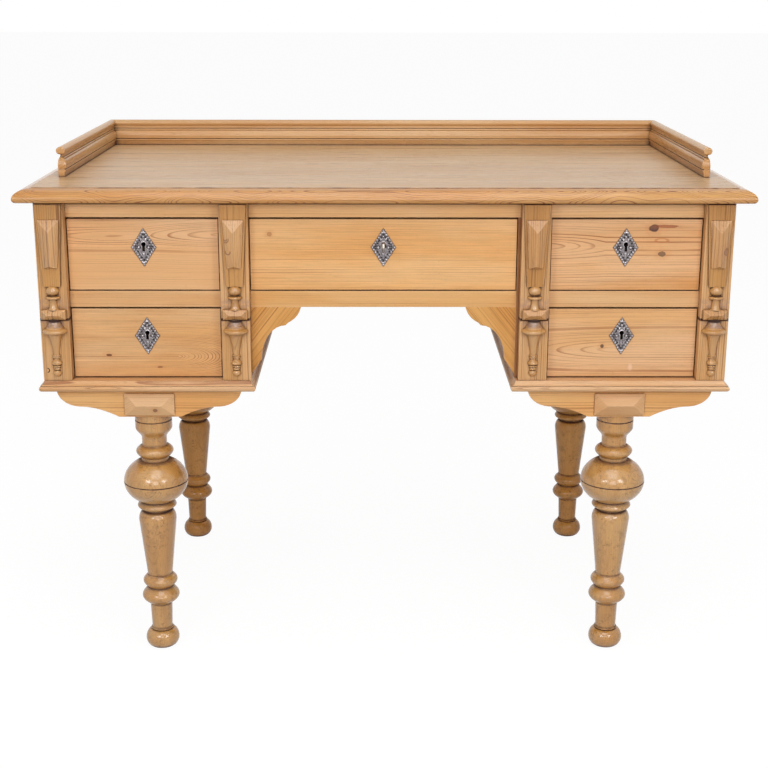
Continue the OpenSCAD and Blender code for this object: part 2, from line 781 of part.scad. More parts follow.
// Radii in the quirks between the beads, and the small steps beside them
ankle_flare = 1.4;
low_quirk_r = mid_ring_r * 0.75;
ball_low_r = ball_end_r + 1;
ball_top_r = ball_end_r * 0.83;
over_fillet_h = 6;
scribe_half = 0.8;
leg_step = 1;
ring_fall = 2.2;
groove_z = leg_h - 13;
leg_profile = concat(
  [[0, 0]],
  bead(0, foot_h, foot_flat_r, ankle_r, foot_r),
  bead(foot_h + leg_step / 2, ankle_z, ankle_r, ankle_r, foot_fillet_r, 6),
  [[ankle_r, ankle_z + leg_step]],
  bead(low_ring_z, mid_ring_z - leg_step, ankle_r + ankle_flare, low_quirk_r, low_ring_r,
    18, ring_fall),
  [[low_quirk_r + leg_step, mid_ring_z - leg_step / 2], [low_quirk_r + leg_step, mid_ring_z]],
  bead(mid_ring_z + leg_step / 2, shaft_z - leg_step, low_quirk_r, shaft_low_r, mid_ring_r,
    18, ring_fall),
  [[shaft_low_r, shaft_z]],
  arc(under_neck_r, shoulder_z, shaft_top_r - under_neck_r, shoulder_h, 0, 90),
  [[under_neck_r, upper_ring_z + leg_step]],
  bead(upper_ring_z + 2 * leg_step, ball_z - leg_step, under_neck_r, ball_low_r, upper_ring_r,
    18, ring_fall),
  [for (i = [0:20]) let (z = ball_z + (ball_mid - scribe_half - ball_z) * i / 20)
    [ball_radius(z), z]],
  [[ball_r - scribe_d, ball_mid]],
  [for (i = [0:20])
    let (z = ball_mid + scribe_half + (over_ring_z - ball_mid - scribe_half) * i / 20)
    [ball_radius(z), z]],
  [[ball_top_r, over_ring_z + leg_step]],
  bead(over_ring_z + over_fillet_h, neck_low_z, ball_top_r, neck_r, over_ring_r, 18, ring_fall),
  [for (i = [0:8]) let (u = i / 8)
    [neck_r + (collar_r - neck_r) * u * u * (3 - 2 * u), flare_z + flare_h * u]],
  [[collar_r, groove_z - leg_step], [collar_r - scribe_d, groove_z]],
  [[collar_r, groove_z + leg_step], [collar_r, leg_h], [tenon_r, leg_h]],
  [[tenon_r, leg_h + tenon_l], [0, leg_h + tenon_l]]);
module leg(x, y) {
  color(leg_pine) translate([x, y, 0]) rotate_extrude($fn = 72) polygon(leg_profile);
}

// Pilasters
module post(x) {
  color(pine) block([x - post_w / 2, post_y, floor_z], [x + post_w / 2, face_y, under_z]);
}
knop_z = mid_z + waist_h + ring_h;
plaque_z = knop_z + knop_h - knop_lap;
plaque_top = under_z - plaque_down;
diamond_z = plaque_z + diamond_up;
diamond_top = plaque_top - diamond_down;
// Tapered outline, upright and facing the front
module tapered(w_low, w_high, z0, z1, y, t) {
  translate([0, y, 0]) rotate([90, 0, 0]) linear_extrude(height = t)
    polygon([[-w_low / 2, z0], [w_low / 2, z0], [w_high / 2, z1], [-w_high / 2, z1]]);
}
module pilaster_plaques() {
  color(pine) for (x = post_xs) translate([x, 0, 0])
    tapered(plaque_foot_w, plaque_w, plaque_z, plaque_top, post_y, plaque_t);
}
module pilaster_diamonds() {
  y = post_y - plaque_t;
  ridge = 0.6;
  color(pale_pine) for (x = post_xs) translate([x, 0, 0]) hull() {
    tapered(diamond_foot_w, diamond_w, diamond_z, diamond_top, y, diamond_edge);
    tapered(ridge, ridge, diamond_z + diamond_heel, diamond_top - diamond_facet, y,
      diamond_edge + diamond_rise);
  }
}
// Half of a turning, split down its length and laid on the pilaster's face
module split_turning(profile) {
  for (x = post_xs) translate([x, post_y, 0])
    intersection() {
      rotate_extrude($fn = 64) polygon(profile);
      block([-post_w, -post_w, floor_z], [post_w, 0, under_z]);
    }
}
// Height of the small steps between the beads of the split turnings
turn_step = 0.5;
module pilaster_knops() {
  ring_z = mid_z + waist_h;
  waist_top_z = ring_z - 2 * turn_step;
  waist_flare = 4;
  knop_half = knop_h / 2;
  knop_low_a = -52;
  color(leg_pine) difference() {
    split_turning(concat(
      [[0, mid_z]],
      arc(waist_r + waist_flare, waist_top_z, waist_flare, waist_top_z - mid_z, 270, 180),
      [[waist_r + turn_step, ring_z]],
      bead(ring_z + turn_step, knop_z - turn_step, ring_r - 3 * turn_step, ring_r - 4 * turn_step,
        ring_r, arc_n),
      [[0.5 * knop_r, knop_z]],
      arc(0, knop_z + knop_half, knop_r, knop_half, knop_low_a, 90)));
    // Notched at the back, where it lies on the plaque
    for (x = post_xs)
      block([x - plaque_w / 2, post_y - plaque_t - glue, plaque_z - glue], [x + plaque_w / 2, 0, under_z]);
  }
}
// Hipped block under the waist
module pilaster_caps() {
  color(pale_pine) for (x = post_xs) translate([x, post_y, mid_z - cap_h])
    hipped_block(cap_w, cap_h, cap_ridge, cap_ridge_z, cap_edge, cap_rise);
}
// Drop: flare, half disc, vase, collar, bell, fillet and round drop, listed from the foot up
drop_z = floor_z + drop_clear;
drop_low_a = -80;
drop_top_a = 64;
drop_half = 0.86 * drop_r;
drop_neck_z = drop_z + drop_half * (1 + sin(drop_top_a));
bell_z = drop_neck_z + drop_neck_h;
vase_ring_z = bell_z + bell_h;
vase_z = vase_ring_z + vase_ring_h;
cap_z = mid_z - cap_h;
flute_z = cap_z - flute_h;
disc_z = flute_z - disc_h;
module pilaster_drops() {
  step = 2 * turn_step;
  neck_mid_z = (drop_neck_z + bell_z) / 2;
  bell_half = 0.3 * bell_h;
  bell_top_a = 50;
  bell_head_r = drop_neck_r - turn_step;
  ring_mid_z = (vase_ring_z + vase_z) / 2;
  vase_h = disc_z - vase_z - step;
  vase_fall = 1.35;
  disc_half = disc_h / 2;
  disc_low_a = -56;
  disc_top_a = 45;
  cup_r = 0.8 * disc_r;
  cup_low_a = 250;
  color(leg_pine) split_turning(concat(
    [[0, drop_z]],
    arc(0, drop_z + drop_half, drop_r, drop_half, drop_low_a, drop_top_a),
    bead(drop_neck_z, neck_mid_z, drop_neck_r - step, drop_neck_r - step, drop_neck_r + step, 6),
    bead(neck_mid_z, bell_z - turn_step, drop_neck_r - step, drop_neck_r, drop_neck_r + 2 * step, 6),
    arc(drop_neck_r, bell_z + bell_half, bell_r - drop_neck_r, bell_half, drop_low_a, bell_top_a),
    [[bell_head_r, bell_z + 0.8 * bell_h], [bell_head_r, vase_ring_z]],
    bead(vase_ring_z + turn_step, ring_mid_z, vase_low_r, vase_low_r, vase_ring_r, 6),
    bead(ring_mid_z, vase_z - turn_step, vase_low_r, vase_low_r, vase_ring_r, 6),
    [[vase_low_r, vase_z]],
    [for (i = [1:8]) let (u = i / 8)
      [vase_low_r + (vase_top_r - vase_low_r) * pow(u, vase_fall), vase_z + vase_h * u]],
    [[vase_top_r + step, disc_z]],
    arc(0, disc_z + disc_half, disc_r, disc_half, disc_low_a, disc_top_a),
    arc(cup_r, cap_z, cup_r - flute_r, flute_h - step, cup_low_a, 180),
    [[0, cap_z]]));
}

// Spandrel: rounded tip, small step, long hollow and a straight slope at the foot
module spandrel(side) {
  tip_low = 12;
  tip_high = 66;
  tip_x = spandrel_reach - spandrel_tip_r * cos(tip_low);
  tip_z = -spandrel_tip_r * sin(tip_low);
  hollow_x = tip_x + spandrel_tip_r * cos(tip_high) - spandrel_step;
  hollow_top = tip_z + spandrel_tip_r * sin(tip_high) + spandrel_step;
  hollow_w = hollow_x - spandrel_heel;
  hollow_h = spandrel_drop - spandrel_foot_h - hollow_top;
  nick = 1.5;
  // The left one runs on behind its pilaster, the right one ends at the partition's lip
  behind = side < 0 ? part_in - knee_edge(side) : 0;
  outline = concat(
    [[behind, 0]],
    [for (p = arc(tip_x, tip_z, spandrel_tip_r, spandrel_tip_r, tip_low, tip_high)) [-p[0], -p[1]]],
    [for (p = arc(hollow_x, hollow_top + hollow_h, hollow_w, hollow_h, 270, 180)) [-p[0], -p[1]]],
    [[nick - spandrel_heel, spandrel_foot_h - spandrel_drop - nick]],
    [[0, -spandrel_drop], [behind, -spandrel_drop]]);
  color(pine) mirrored(side)
    translate([knee_edge(side), 0, mid_z]) along_y(face_y, face_y + spandrel_t)
      polygon(outline);
}

// Drawers. Each is given by its middle, the low edge of its opening, and half its width
drawer_specs = [
  ["upper_left", -pedestal_x, upper_z, upper_h, pedestal_half],
  ["upper_right", pedestal_x, upper_z, upper_h, pedestal_half],
  ["lower_left", -pedestal_x, floor_z, lower_h, pedestal_half],
  ["lower_right", pedestal_x, floor_z, lower_h, pedestal_half],
  ["centre", knee_mid, upper_z, upper_h, centre_half]
];
inner_face_y = face_y + front_t;

module bottom_panel(d, grow = 0) {
  half = d[4] - side_t + groove_d + grow;
  low = d[2] + run_clear + bottom_up;
  block([d[1] - half, inner_face_y - groove_d - grow, low - grow],
    [d[1] + half, drawer_back_y + grow, low + bottom_t + grow]);
}
// Dovetails at one end of a drawer side, running from y0 to y1 and wider at y1
module tails(d, y0, y1, grow = 0) {
  low = d[2] + run_clear;
  share = (d[3] - side_down - run_clear) / tail_count;
  half = share * tail_fill / 2 + grow;
  for (i = [0:tail_count - 1]) {
    z = low + share * (i + 0.5);
    along_x(d[1] - d[4] - cut, d[1] + d[4] + cut)
      polygon([[y0, z - half], [y0, z + half], [y1, z + half + tail_spread],
        [y1, z - half - tail_spread]]);
  }
}
module both_sides(d) {
  for (s = [-1, 1])
    translate([d[1] + s * (d[4] - side_t / 2), 0, 0]) children();
}
module side_slab(d, y0, y1, grow = 0) {
  both_sides(d)
    block([-side_t / 2 - grow, y0, d[2] + run_clear],
      [side_t / 2 + grow, y1, d[2] + d[3] - side_down]);
}
module side_tails(d) {
  intersection() {
    tails(d, inner_face_y, inner_face_y - tail_l);
    side_slab(d, inner_face_y - tail_l, inner_face_y);
  }
}
module back_tails(d, grow = 0) {
  intersection() {
    tails(d, drawer_back_y - tail_board_t, drawer_back_y, grow);
    side_slab(d, drawer_back_y - tail_board_t, drawer_back_y, grow);
  }
}
module back_board(d) {
  block([d[1] - d[4], drawer_back_y - tail_board_t + glue,
      d[2] + run_clear + bottom_up + bottom_t + glue],
    [d[1] + d[4], drawer_back_y, d[2] + d[3] - side_down - back_down]);
}
module drawer_box(d) {
  color(pale_pine) {
    difference() {
      union() {
        side_slab(d, inner_face_y, drawer_back_y - tail_board_t);
        side_tails(d);
        back_tails(d);
      }
      bottom_panel(d, glue);
    }
    bottom_panel(d);
    difference() {
      back_board(d);
      back_tails(d, glue);
    }
  }
}
hole_clear = 0.1;
// Place of a keyhole: the middle of the drawer, a little above the middle of the opening
function key_z(d) = d[2] + d[3] / 2 + keyhole_up;
function top_of(d) = d[2] + d[3] - head_gap;
module keyhole(d, y0, y1) {
  translate([d[1], y1, key_z(d)]) rotate([90, 0, 0]) cylinder(r = keyhole_r, h = y1 - y0);
  block([d[1] - keyslot_w / 2, y0, key_z(d) - keyslot_l], [d[1] + keyslot_w / 2, y1, key_z(d)]);
}
case_y = inner_face_y - case_d;
module case_block(d, grow) {
  block([d[1] - case_w / 2 + grow, case_y + grow, key_z(d) - case_below + grow],
    [d[1] + case_w / 2 - grow, inner_face_y - grow, top_of(d) - grow]);
}
ear_screw_x = case_w / 2 + ear_w / 2;
module ear_screws(d, r, l) {
  for (s = [-1, 1])
    translate([d[1] + s * ear_screw_x, inner_face_y, key_z(d) + ear_screw_up])
      rotate([90, 0, 0]) cylinder(r = r, h = l);
}
module shield_pins(d, r, l) {
  for (s = [-1, 1])
    translate([d[1], face_y, key_z(d) - shield_down + s * pin_up])
      rotate([-90, 0, 0]) cylinder(r = r, h = l);
}
module drawer_front(d) {
  color(pine) difference() {
    block([d[1] - d[4], face_y, d[2] + front_gap], [d[1] + d[4], inner_face_y, top_of(d)]);
    side_tails(d);
    intersection() {
      bottom_panel(d);
      block([d[1] - d[4], face_y, d[2]], [d[1] + d[4], inner_face_y + cut, top_of(d)]);
    }
    case_block(d, 0);
    translate([0, 0, cut]) case_block(d, 0);
    keyhole(d, face_y - cut, inner_face_y);
    ear_screws(d, screw_r + hole_clear, screw_l + hole_clear);
    shield_pins(d, pin_r + hole_clear, pin_l + hole_clear);
  }
}

// Lock case: a hollow box let into the front, its cover plate running out as two ears
module bolt_head(x, z_top, grow, length) {
  block([x - bolt_w / 2 - grow, bolt_y - bolt_t / 2 - grow, z_top - length],
    [x + bolt_w / 2 + grow, bolt_y + bolt_t / 2 + grow, z_top]);
}
// The key's tip turns in a hole through the case's inner wall and its cover plate
module key_seat(d, r) {
  translate([d[1], inner_face_y + plate_t + cut, key_z(d)]) rotate([90, 0, 0])
    cylinder(r = r, h = plate_t + case_wall + 2 * cut);
}
module lock_case(d) {
  color(brass) difference() {
    union() {
      case_block(d, 0);
      block([d[1] - case_w / 2 - ear_w, inner_face_y, key_z(d) - case_below],
        [d[1] + case_w / 2 + ear_w, inner_face_y + plate_t, key_z(d) + case_below]);
      block([d[1] - case_w / 2, inner_face_y, key_z(d) + case_below],
        [d[1] + case_w / 2, inner_face_y + plate_t, top_of(d)]);
    }
    case_block(d, case_wall);
    bolt_head(d[1], top_of(d) + cut, bolt_clear, case_wall + 2 * cut);
    keyhole(d, case_y - cut, case_y + case_wall + cut);
    key_seat(d, key_tip_r + key_run);
    translate([0, plate_t + cut, 0]) ear_screws(d, screw_r + hole_clear, plate_t + 2 * cut);
  }
}
module lock_screws(d) {
  head_r = screw_r * 1.9;
  head_t = screw_r * 0.75;
  color(iron) {
    translate([0, plate_t + glue, 0]) ear_screws(d, screw_r, screw_l);
    translate([0, plate_t + glue + head_t, 0]) ear_screws(d, head_r, head_t);
  }
}
window_wall = 2;
// Bolt: a head that rises through the case's top edge, on a plate with a window for the bit
module lock_bolt(d) {
  plate_low = key_z(d) - window_r - window_wall;
  plate_high = top_of(d) - case_wall - bolt_throw - bolt_clear;
  color(iron) difference() {
    union() {
      bolt_head(d[1], top_of(d) - bolt_clear, 0, top_of(d) - bolt_clear - plate_high + cut);
      block([d[1] - bolt_plate_w / 2, bolt_y - bolt_t / 2, plate_low],
        [d[1] + bolt_plate_w / 2, bolt_y + bolt_t / 2, plate_high]);
    }
    block([d[1] - window_r, bolt_y - bolt_t, key_z(d) - window_r - bolt_throw],
      [d[1] + window_r, bolt_y + bolt_t, key_z(d)]);
    translate([d[1], bolt_y + bolt_t, key_z(d)]) rotate([90, 0, 0])
      cylinder(r = window_r, h = 2 * bolt_t);
  }
}

// Escutcheon: a pierced lozenge with a beaded edge, a raised panel with two bosses, a ring
// round the keyhole, and two pins
pin_in = 5.5;
pin_up = plate_h / 2 - pin_in;
pin_head = 0.6;
edge_x = plate_w / 2 - bead_r;
edge_z = plate_h / 2 - bead_r;
edge_l = sqrt(edge_x * edge_x + edge_z * edge_z);
module lozenge(half_x, half_z) {
  polygon([[-half_x, 0], [0, -half_z], [half_x, 0], [0, half_z]]);
}
module shield_outline() {
  lozenge(edge_x, edge_z);
  for (sx = [-1, 1]) for (sz = [-1, 1]) for (i = [0:bead_count]) {
    u = i / bead_count;
    translate([sx * edge_x * u, sz * edge_z * (1 - u)]) circle(r = bead_r, $fn = 16);
  }
}
module shield_piercings() {
  first = 0.3;
  last = 0.85;
  for (sx = [-1, 1]) for (sz = [-1, 1]) for (i = [0:pierce_count - 1]) {
    u = first + (last - first) * i / (pierce_count - 1);
    translate([
      sx * (edge_x * u - pierce_in * edge_z / edge_l),
      sz * (edge_z * (1 - u) - pierce_in * edge_x / edge_l)]) circle(r = pierce_r, $fn = 12);
  }
}
module escutcheon(d) {
  panel_t_out = shield_t + panel_rise;
  color(pewter) difference() {
    translate([d[1], face_y, key_z(d) - shield_down]) rotate([90, 0, 0]) {
      linear_extrude(height = shield_t) difference() {
        shield_outline();
        shield_piercings();
      }
      linear_extrude(height = panel_t_out) lozenge(panel_half, panel_half);
      for (s = [-1, 1]) translate([s * boss_x, 0, panel_t_out - glue])
        cylinder(r1 = boss_r, r2 = boss_r / 2, h = boss_rise + glue);
      translate([0, shield_down, 0])
        cylinder(r = keyhole_r + ring_wall, h = shield_t + ring_rise);
      linear_extrude(height = shield_t + ring_rise)
        translate([-keyslot_w / 2 - ring_wall, shield_down - keyslot_l - ring_wall])
          square([keyslot_w + 2 * ring_wall, keyslot_l + ring_wall]);
    }
    keyhole(d, face_y - shield_t - ring_rise - cut, face_y + cut);
    translate([0, -shield_t - cut, 0]) shield_pins(d, pin_r + hole_clear, shield_t + 2 * cut);
  }
  color(pewter) {
    translate([0, -shield_t - glue, 0]) shield_pins(d, pin_r, pin_l);
    translate([0, -shield_t - glue - pin_head, 0]) shield_pins(d, pin_r * 2, pin_head);
  }
}

// Key of the centre drawer: stem, collar, ring bow in an upright plane, and the bit
module centre_key() {
  d = drawer_specs[4];
  bow_y = face_y - key_reach + bow_r;
  collar_gap = 1;
  collar_l = 3;
  tip_step = 1;
  stem_end = inner_face_y - case_wall - tip_step;
  color(iron) translate([d[1], 0, key_z(d)]) {
    difference() {
      translate([-bow_t / 2, bow_y, 0]) rotate([0, 90, 0]) cylinder(r = bow_r, h = bow_t);
      translate([-bow_t, bow_y, 0]) rotate([0, 90, 0]) cylinder(r = bow_hole_r, h = 2 * bow_t);
    }
    translate([0, stem_end, 0]) rotate([90, 0, 0])
      cylinder(r = stem_r, h = stem_end - bow_y - (bow_r + bow_hole_r) / 2);
    translate([0, bow_y + bow_r + collar_gap + collar_l, 0]) rotate([90, 0, 0])
      cylinder(r = key_collar_r, h = collar_l);
    translate([0, inner_face_y + plate_t, 0]) rotate([90, 0, 0])
      cylinder(r = key_tip_r, h = inner_face_y + plate_t - stem_end + cut);
    block([-bit_t / 2, bolt_y - bit_h / 2, -bit_l], [bit_t / 2, bolt_y + bit_h / 2, 0]);
  }
}

top_board();
gallery_back();
gallery_side(-1);  // gallery_left
gallery_side(1);  // gallery_right
side_panel(-1);  // side_panel_left
side_panel(1);  // side_panel_right
partition(-1);  // partition_left
partition(1);  // partition_right
back_panels();
top_rail_front();
top_rail_back();
mid_rail(-1);  // mid_rail_left
mid_rail(1);  // mid_rail_right
centre_rails();
drawer_runners();
drawer_guides();
base_board(-1);  // base_board_left
base_board(1);  // base_board_right
bearer(-1, bearer_front_y);  // bearer_front_left
bearer(1, bearer_front_y);  // bearer_front_right
bearer(-1, bearer_back_y);  // bearer_back_left
bearer(1, bearer_back_y);  // bearer_back_right
bearer_blocks();
leg(-pedestal_x, bearer_front_y);  // leg_front_left
leg(pedestal_x, bearer_front_y);  // leg_front_right
leg(-pedestal_x, bearer_back_y);  // leg_back_left
leg(pedestal_x, bearer_back_y);  // leg_back_right
post(-outer_post_x);  // post_outer_left
post(-inner_post_x);  // post_inner_left
post(inner_post_x);  // post_inner_right
post(outer_post_x);  // post_outer_right
pilaster_plaques();
pilaster_diamonds();
pilaster_knops();
pilaster_caps();
pilaster_drops();
spandrel(-1);  // spandrel_left
spandrel(1);  // spandrel_right
for (d = drawer_specs) {
  drawer_front(d);
  drawer_box(d);
  escutcheon(d);
  union() {
    lock_case(d);
    lock_screws(d);
    if (d[0] != "centre") lock_bolt(d);
  }
}
lock_bolt(drawer_specs[4]);  // centre_lock_bolt
centre_key();
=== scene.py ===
import math

import bpy
import numpy as np
from mathutils import Matrix, Vector


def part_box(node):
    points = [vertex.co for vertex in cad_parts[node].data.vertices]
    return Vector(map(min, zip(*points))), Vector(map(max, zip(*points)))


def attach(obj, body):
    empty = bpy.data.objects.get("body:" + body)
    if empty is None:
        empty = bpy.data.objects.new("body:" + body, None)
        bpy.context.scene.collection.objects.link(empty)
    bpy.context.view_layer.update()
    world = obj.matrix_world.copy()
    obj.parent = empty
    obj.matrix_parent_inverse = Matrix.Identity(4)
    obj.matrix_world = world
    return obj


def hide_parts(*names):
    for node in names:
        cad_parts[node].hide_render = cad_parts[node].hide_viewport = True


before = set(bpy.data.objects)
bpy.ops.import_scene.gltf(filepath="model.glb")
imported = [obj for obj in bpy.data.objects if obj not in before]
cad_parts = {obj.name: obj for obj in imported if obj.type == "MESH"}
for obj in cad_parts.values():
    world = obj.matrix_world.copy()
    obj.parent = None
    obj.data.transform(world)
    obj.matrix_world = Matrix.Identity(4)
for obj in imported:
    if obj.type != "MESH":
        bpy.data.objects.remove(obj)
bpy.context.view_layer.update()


# Top board: flat-sawn pine boards glued edge to edge, with a thumbnail moulding planed along the
# front and both ends. It lies on the rails and is glued and nailed from below. The wax on it is
# worn thin and greyed in the middle and still warm and orange on the moulding.
class Wiring:
    """Lays out shader nodes in one tree and joins them up."""

    def __init__(self, tree):
        self.tree = tree

    def node(self, kind, inputs=None, **settings):
        """Adds a node; inputs maps a socket's name or place to a socket or a plain value."""
        made = self.tree.nodes.new("ShaderNode" + kind)
        for name, value in settings.items():
            setattr(made, name, value)
        for name, value in (inputs or {}).items():
            if isinstance(value, bpy.types.NodeSocket):
                self.tree.links.new(value, made.inputs[name])
            else:
                made.inputs[name].default_value = value
        return made

    def math(self, step, a, b=0.0, c=0.0, clamp=False):
        return self.node("Math", {0: a, 1: b, 2: c}, operation=step, use_clamp=clamp).outputs[0]

    def vector(self, step, a, b=(0.0, 0.0, 0.0)):
        made = self.node("VectorMath", {0: a}, operation=step)
        spot = "Scale" if step == "SCALE" else 1
        if isinstance(b, bpy.types.NodeSocket):
            self.tree.links.new(b, made.inputs[spot])
        else:
            made.inputs[spot].default_value = b
        return made.outputs["Value" if step in ("LENGTH", "DOT_PRODUCT") else "Vector"]

    def noise(self, place, detail=2.0, rough=0.5, scale=1.0):
        found = self.node("TexNoise", {"Vector": place, "Scale": scale, "Detail": detail,
                                       "Roughness": rough})
        return found.outputs[0]

    def span(self, value, low, high, to_low=0.0, to_high=1.0, smooth=True):
        """Value read from low to high becomes to_low to to_high, and no further."""
        kind = "SMOOTHSTEP" if smooth else "LINEAR"
        return self.node("MapRange", {"Value": value, "From Min": low, "From Max": high,
                                      "To Min": to_low, "To Max": to_high},
                         interpolation_type=kind).outputs[0]

    def mix(self, share, a, b):
        return self.node("Mix", {0: share, 6: a, 7: b}, data_type="RGBA").outputs[2]

    def gap(self, a, b):
        """How far apart two values are."""
        return self.math("ABSOLUTE", self.math("SUBTRACT", a, b))

    def band(self, value, foot, crest, crest_end, end):
        """1 from crest to crest_end, and falling smoothly to 0 at foot and at end."""
        return self.math("MULTIPLY", self.span(value, foot, crest),
                         self.span(value, end, crest_end))

    def away(self, place, spot, stretch=(1.0, 0.0, 1.0)):
        """Distance from a spot with each axis stretched, as seen from the front if not told."""
        off = self.vector("MULTIPLY", self.vector("SUBTRACT", place, spot), stretch)
        return self.vector("LENGTH", off)

    def split(self, place):
        return self.node("SeparateXYZ", {0: place}).outputs


def new_group(name, feeds, gives):
    """Starts a node group; feeds and gives list each socket's name, kind and first value."""
    tree = bpy.data.node_groups.new(name, "ShaderNodeTree")
    for label, kind, value in feeds:
        socket = tree.interface.new_socket(label, in_out="INPUT", socket_type="NodeSocket" + kind)
        socket.default_value = value
    for label, kind in gives:
        tree.interface.new_socket(label, in_out="OUTPUT", socket_type="NodeSocket" + kind)
    return (Wiring(tree), tree.nodes.new("NodeGroupInput").outputs,
            tree.nodes.new("NodeGroupOutput").inputs)


def shade(red, green, blue):
    """A colour given as 0 to 255 on screen, as the linear value that Blender mixes with."""
    lin = [c / 12.92 if c <= 0.04045 else ((c + 0.055) / 1.055) ** 2.4
           for c in (red / 255, green / 255, blue / 255)]
    return (*lin, 1.0)


def blank_material(name):
    """A new material, the wiring of its empty node tree, and the socket that its shader feeds."""
    material = bpy.data.materials.new(name)
    material.use_nodes = True
    material.node_tree.nodes.clear()
    w = Wiring(material.node_tree)
    return material, w, w.node("OutputMaterial").inputs["Surface"]


def growth_rings():
    """Figure of sawn pine. Rings are shells round a pith that runs along the local X axis: the
    distance from the pith, wandered by slow noise and spaced unevenly, is cut into rings. Past
    the pith's own point the pith dives by Lean times the way gone, down to Plunge, which draws
    nested arches. From Start on each ring darkens to a thin line, and it breaks off sharply to
    the next pale one."""
    g, feed, give = new_group("growth rings", [
        ("Vector", "Vector", (0, 0, 0)), ("Pith", "Vector", (0, 0.06, 0)), ("Lean", "Float", 0.0),
        ("Plunge", "Float", 1.0), ("Ring", "Float", 0.004), ("Start", "Float", 0.52),
        ("Wander", "Float", 0.012), ("Seed", "Float", 0.0), ("Warp", "Float", 0.0),
        ("Early", "Color", (1, 1, 1, 1)), ("Warm", "Color", (1, 1, 1, 1)),
        ("Late", "Color", (0, 0, 0, 1)), ("Contrast", "Float", 1.0), ("Fibre", "Float", 0.12),
        ("Stain", "Float", 0.1)],
        [("Color", "Color"), ("Height", "Float"), ("Dull", "Float")])
    seat = g.vector("ADD", feed["Vector"], g.vector("SCALE", (7.3, 3.1, 5.7), feed["Seed"]))
    slow = g.noise(g.vector("MULTIPLY", seat, (1.5, 9.0, 9.0)), 2.0)
    quick = g.noise(g.vector("MULTIPLY", seat, (9.0, 80.0, 80.0)), 2.0)
    x, y, z = g.split(g.vector("SUBTRACT", feed["Vector"], feed["Pith"]))
    dive = g.math("MINIMUM", g.math("MAXIMUM", g.math("MULTIPLY", x, feed["Lean"]), 0.0),
                  feed["Plunge"])
    y = g.math("ADD", y, dive)
    shell = g.math("SQRT", g.math("ADD", g.math("MULTIPLY", y, y), g.math("MULTIPLY", z, z)))
    drift = g.math("ADD", g.math("SUBTRACT", slow, 0.5),
                   g.math("MULTIPLY", g.math("SUBTRACT", quick, 0.5), 0.16))
    shell = g.math("ADD", g.math("MULTIPLY_ADD", drift, feed["Wander"], shell), feed["Warp"])
    growth = g.node("TexNoise", {"W": g.math("MULTIPLY_ADD", shell, 70.0, feed["Seed"]),
                                 "Detail": 2.0, "Scale": 1.0}, noise_dimensions="1D").outputs[0]
    count = g.math("MULTIPLY_ADD", growth, 3.0, g.math("DIVIDE", shell, feed["Ring"]))
    age = g.math("FRACT", count)
    year = g.node("TexWhiteNoise", {"W": g.math("ADD", g.math("FLOOR", count), feed["Seed"])},
                  noise_dimensions="1D").outputs[0]
    late = g.band(age, feed["Start"], 0.93, 0.95, 1.0)
    late = g.math("MULTIPLY", late, g.span(year, 0.0, 1.0, 0.15, 1.1, smooth=False))
    patch = g.noise(g.vector("MULTIPLY", seat, (6.0, 30.0, 30.0)), 3.0, 0.6)
    late = g.math("MULTIPLY", late, g.span(patch, 0.35, 0.62, 0.45, 1.0))
    warm = g.noise(g.vector("MULTIPLY", seat, (3.0, 17.0, 17.0)), 3.0, 0.55)
    pale = g.mix(g.span(warm, 0.34, 0.66), feed["Early"], feed["Warm"])
    colour = g.mix(g.math("MULTIPLY", late, feed["Contrast"], clamp=True), pale, feed["Late"])
    threads = g.noise(g.vector("MULTIPLY", seat, (22.0, 520.0, 520.0)), 3.0, 0.65)
    bands = g.noise(g.vector("MULTIPLY", seat, (2.2, 60.0, 60.0)), 3.0, 0.6)
    ducts = g.span(g.noise(g.vector("MULTIPLY", seat, (110.0, 1300.0, 1300.0)), 1.0), 0.64, 0.74)
    tone = g.math("ADD", g.math("MULTIPLY", g.math("SUBTRACT", threads, 0.5), feed["Fibre"]),
                  g.math("MULTIPLY", g.math("SUBTRACT", bands, 0.5), feed["Stain"]))
    tone = g.math("ADD", g.math("MULTIPLY_ADD", ducts, -0.16, 1.0), tone)
    colour = g.vector("SCALE", colour, tone)
    g.tree.links.new(colour, give["Color"])
    relief = g.math("SUBTRACT", g.math("MULTIPLY_ADD", threads, 0.5, late), ducts)
    g.tree.links.new(relief, give["Height"])
    g.tree.links.new(g.math("ADD", g.math("MULTIPLY", threads, 0.6),
                            g.math("MULTIPLY", bands, 0.4)), give["Dull"])
    return g.tree


def grain_swirl():
    """A place where the grain bends: the ring distance gets a bell-shaped lift round one point,
    long along the grain, which draws nested arches and closed loops."""
    g, feed, give = new_group("grain swirl", [
        ("Vector", "Vector", (0, 0, 0)), ("Place", "Vector", (0, 0, 0)), ("Long", "Float", 0.04),
        ("Tall", "Float", 0.01), ("Swell", "Float", 0.01), ("Warp", "Float", 0.0)],
        [("Warp", "Float")])
    x, y, z = g.split(g.vector("SUBTRACT", feed["Vector"], feed["Place"]))
    near = g.math("ADD", g.math("POWER", g.math("DIVIDE", x, feed["Long"]), 2.0),
                  g.math("POWER", g.math("DIVIDE", z, feed["Tall"]), 2.0))
    bell = g.math("EXPONENT", g.math("MULTIPLY", near, -1.0))
    g.tree.links.new(g.math("MULTIPLY_ADD", bell, feed["Swell"], feed["Warp"]), give["Warp"])
    return g.tree


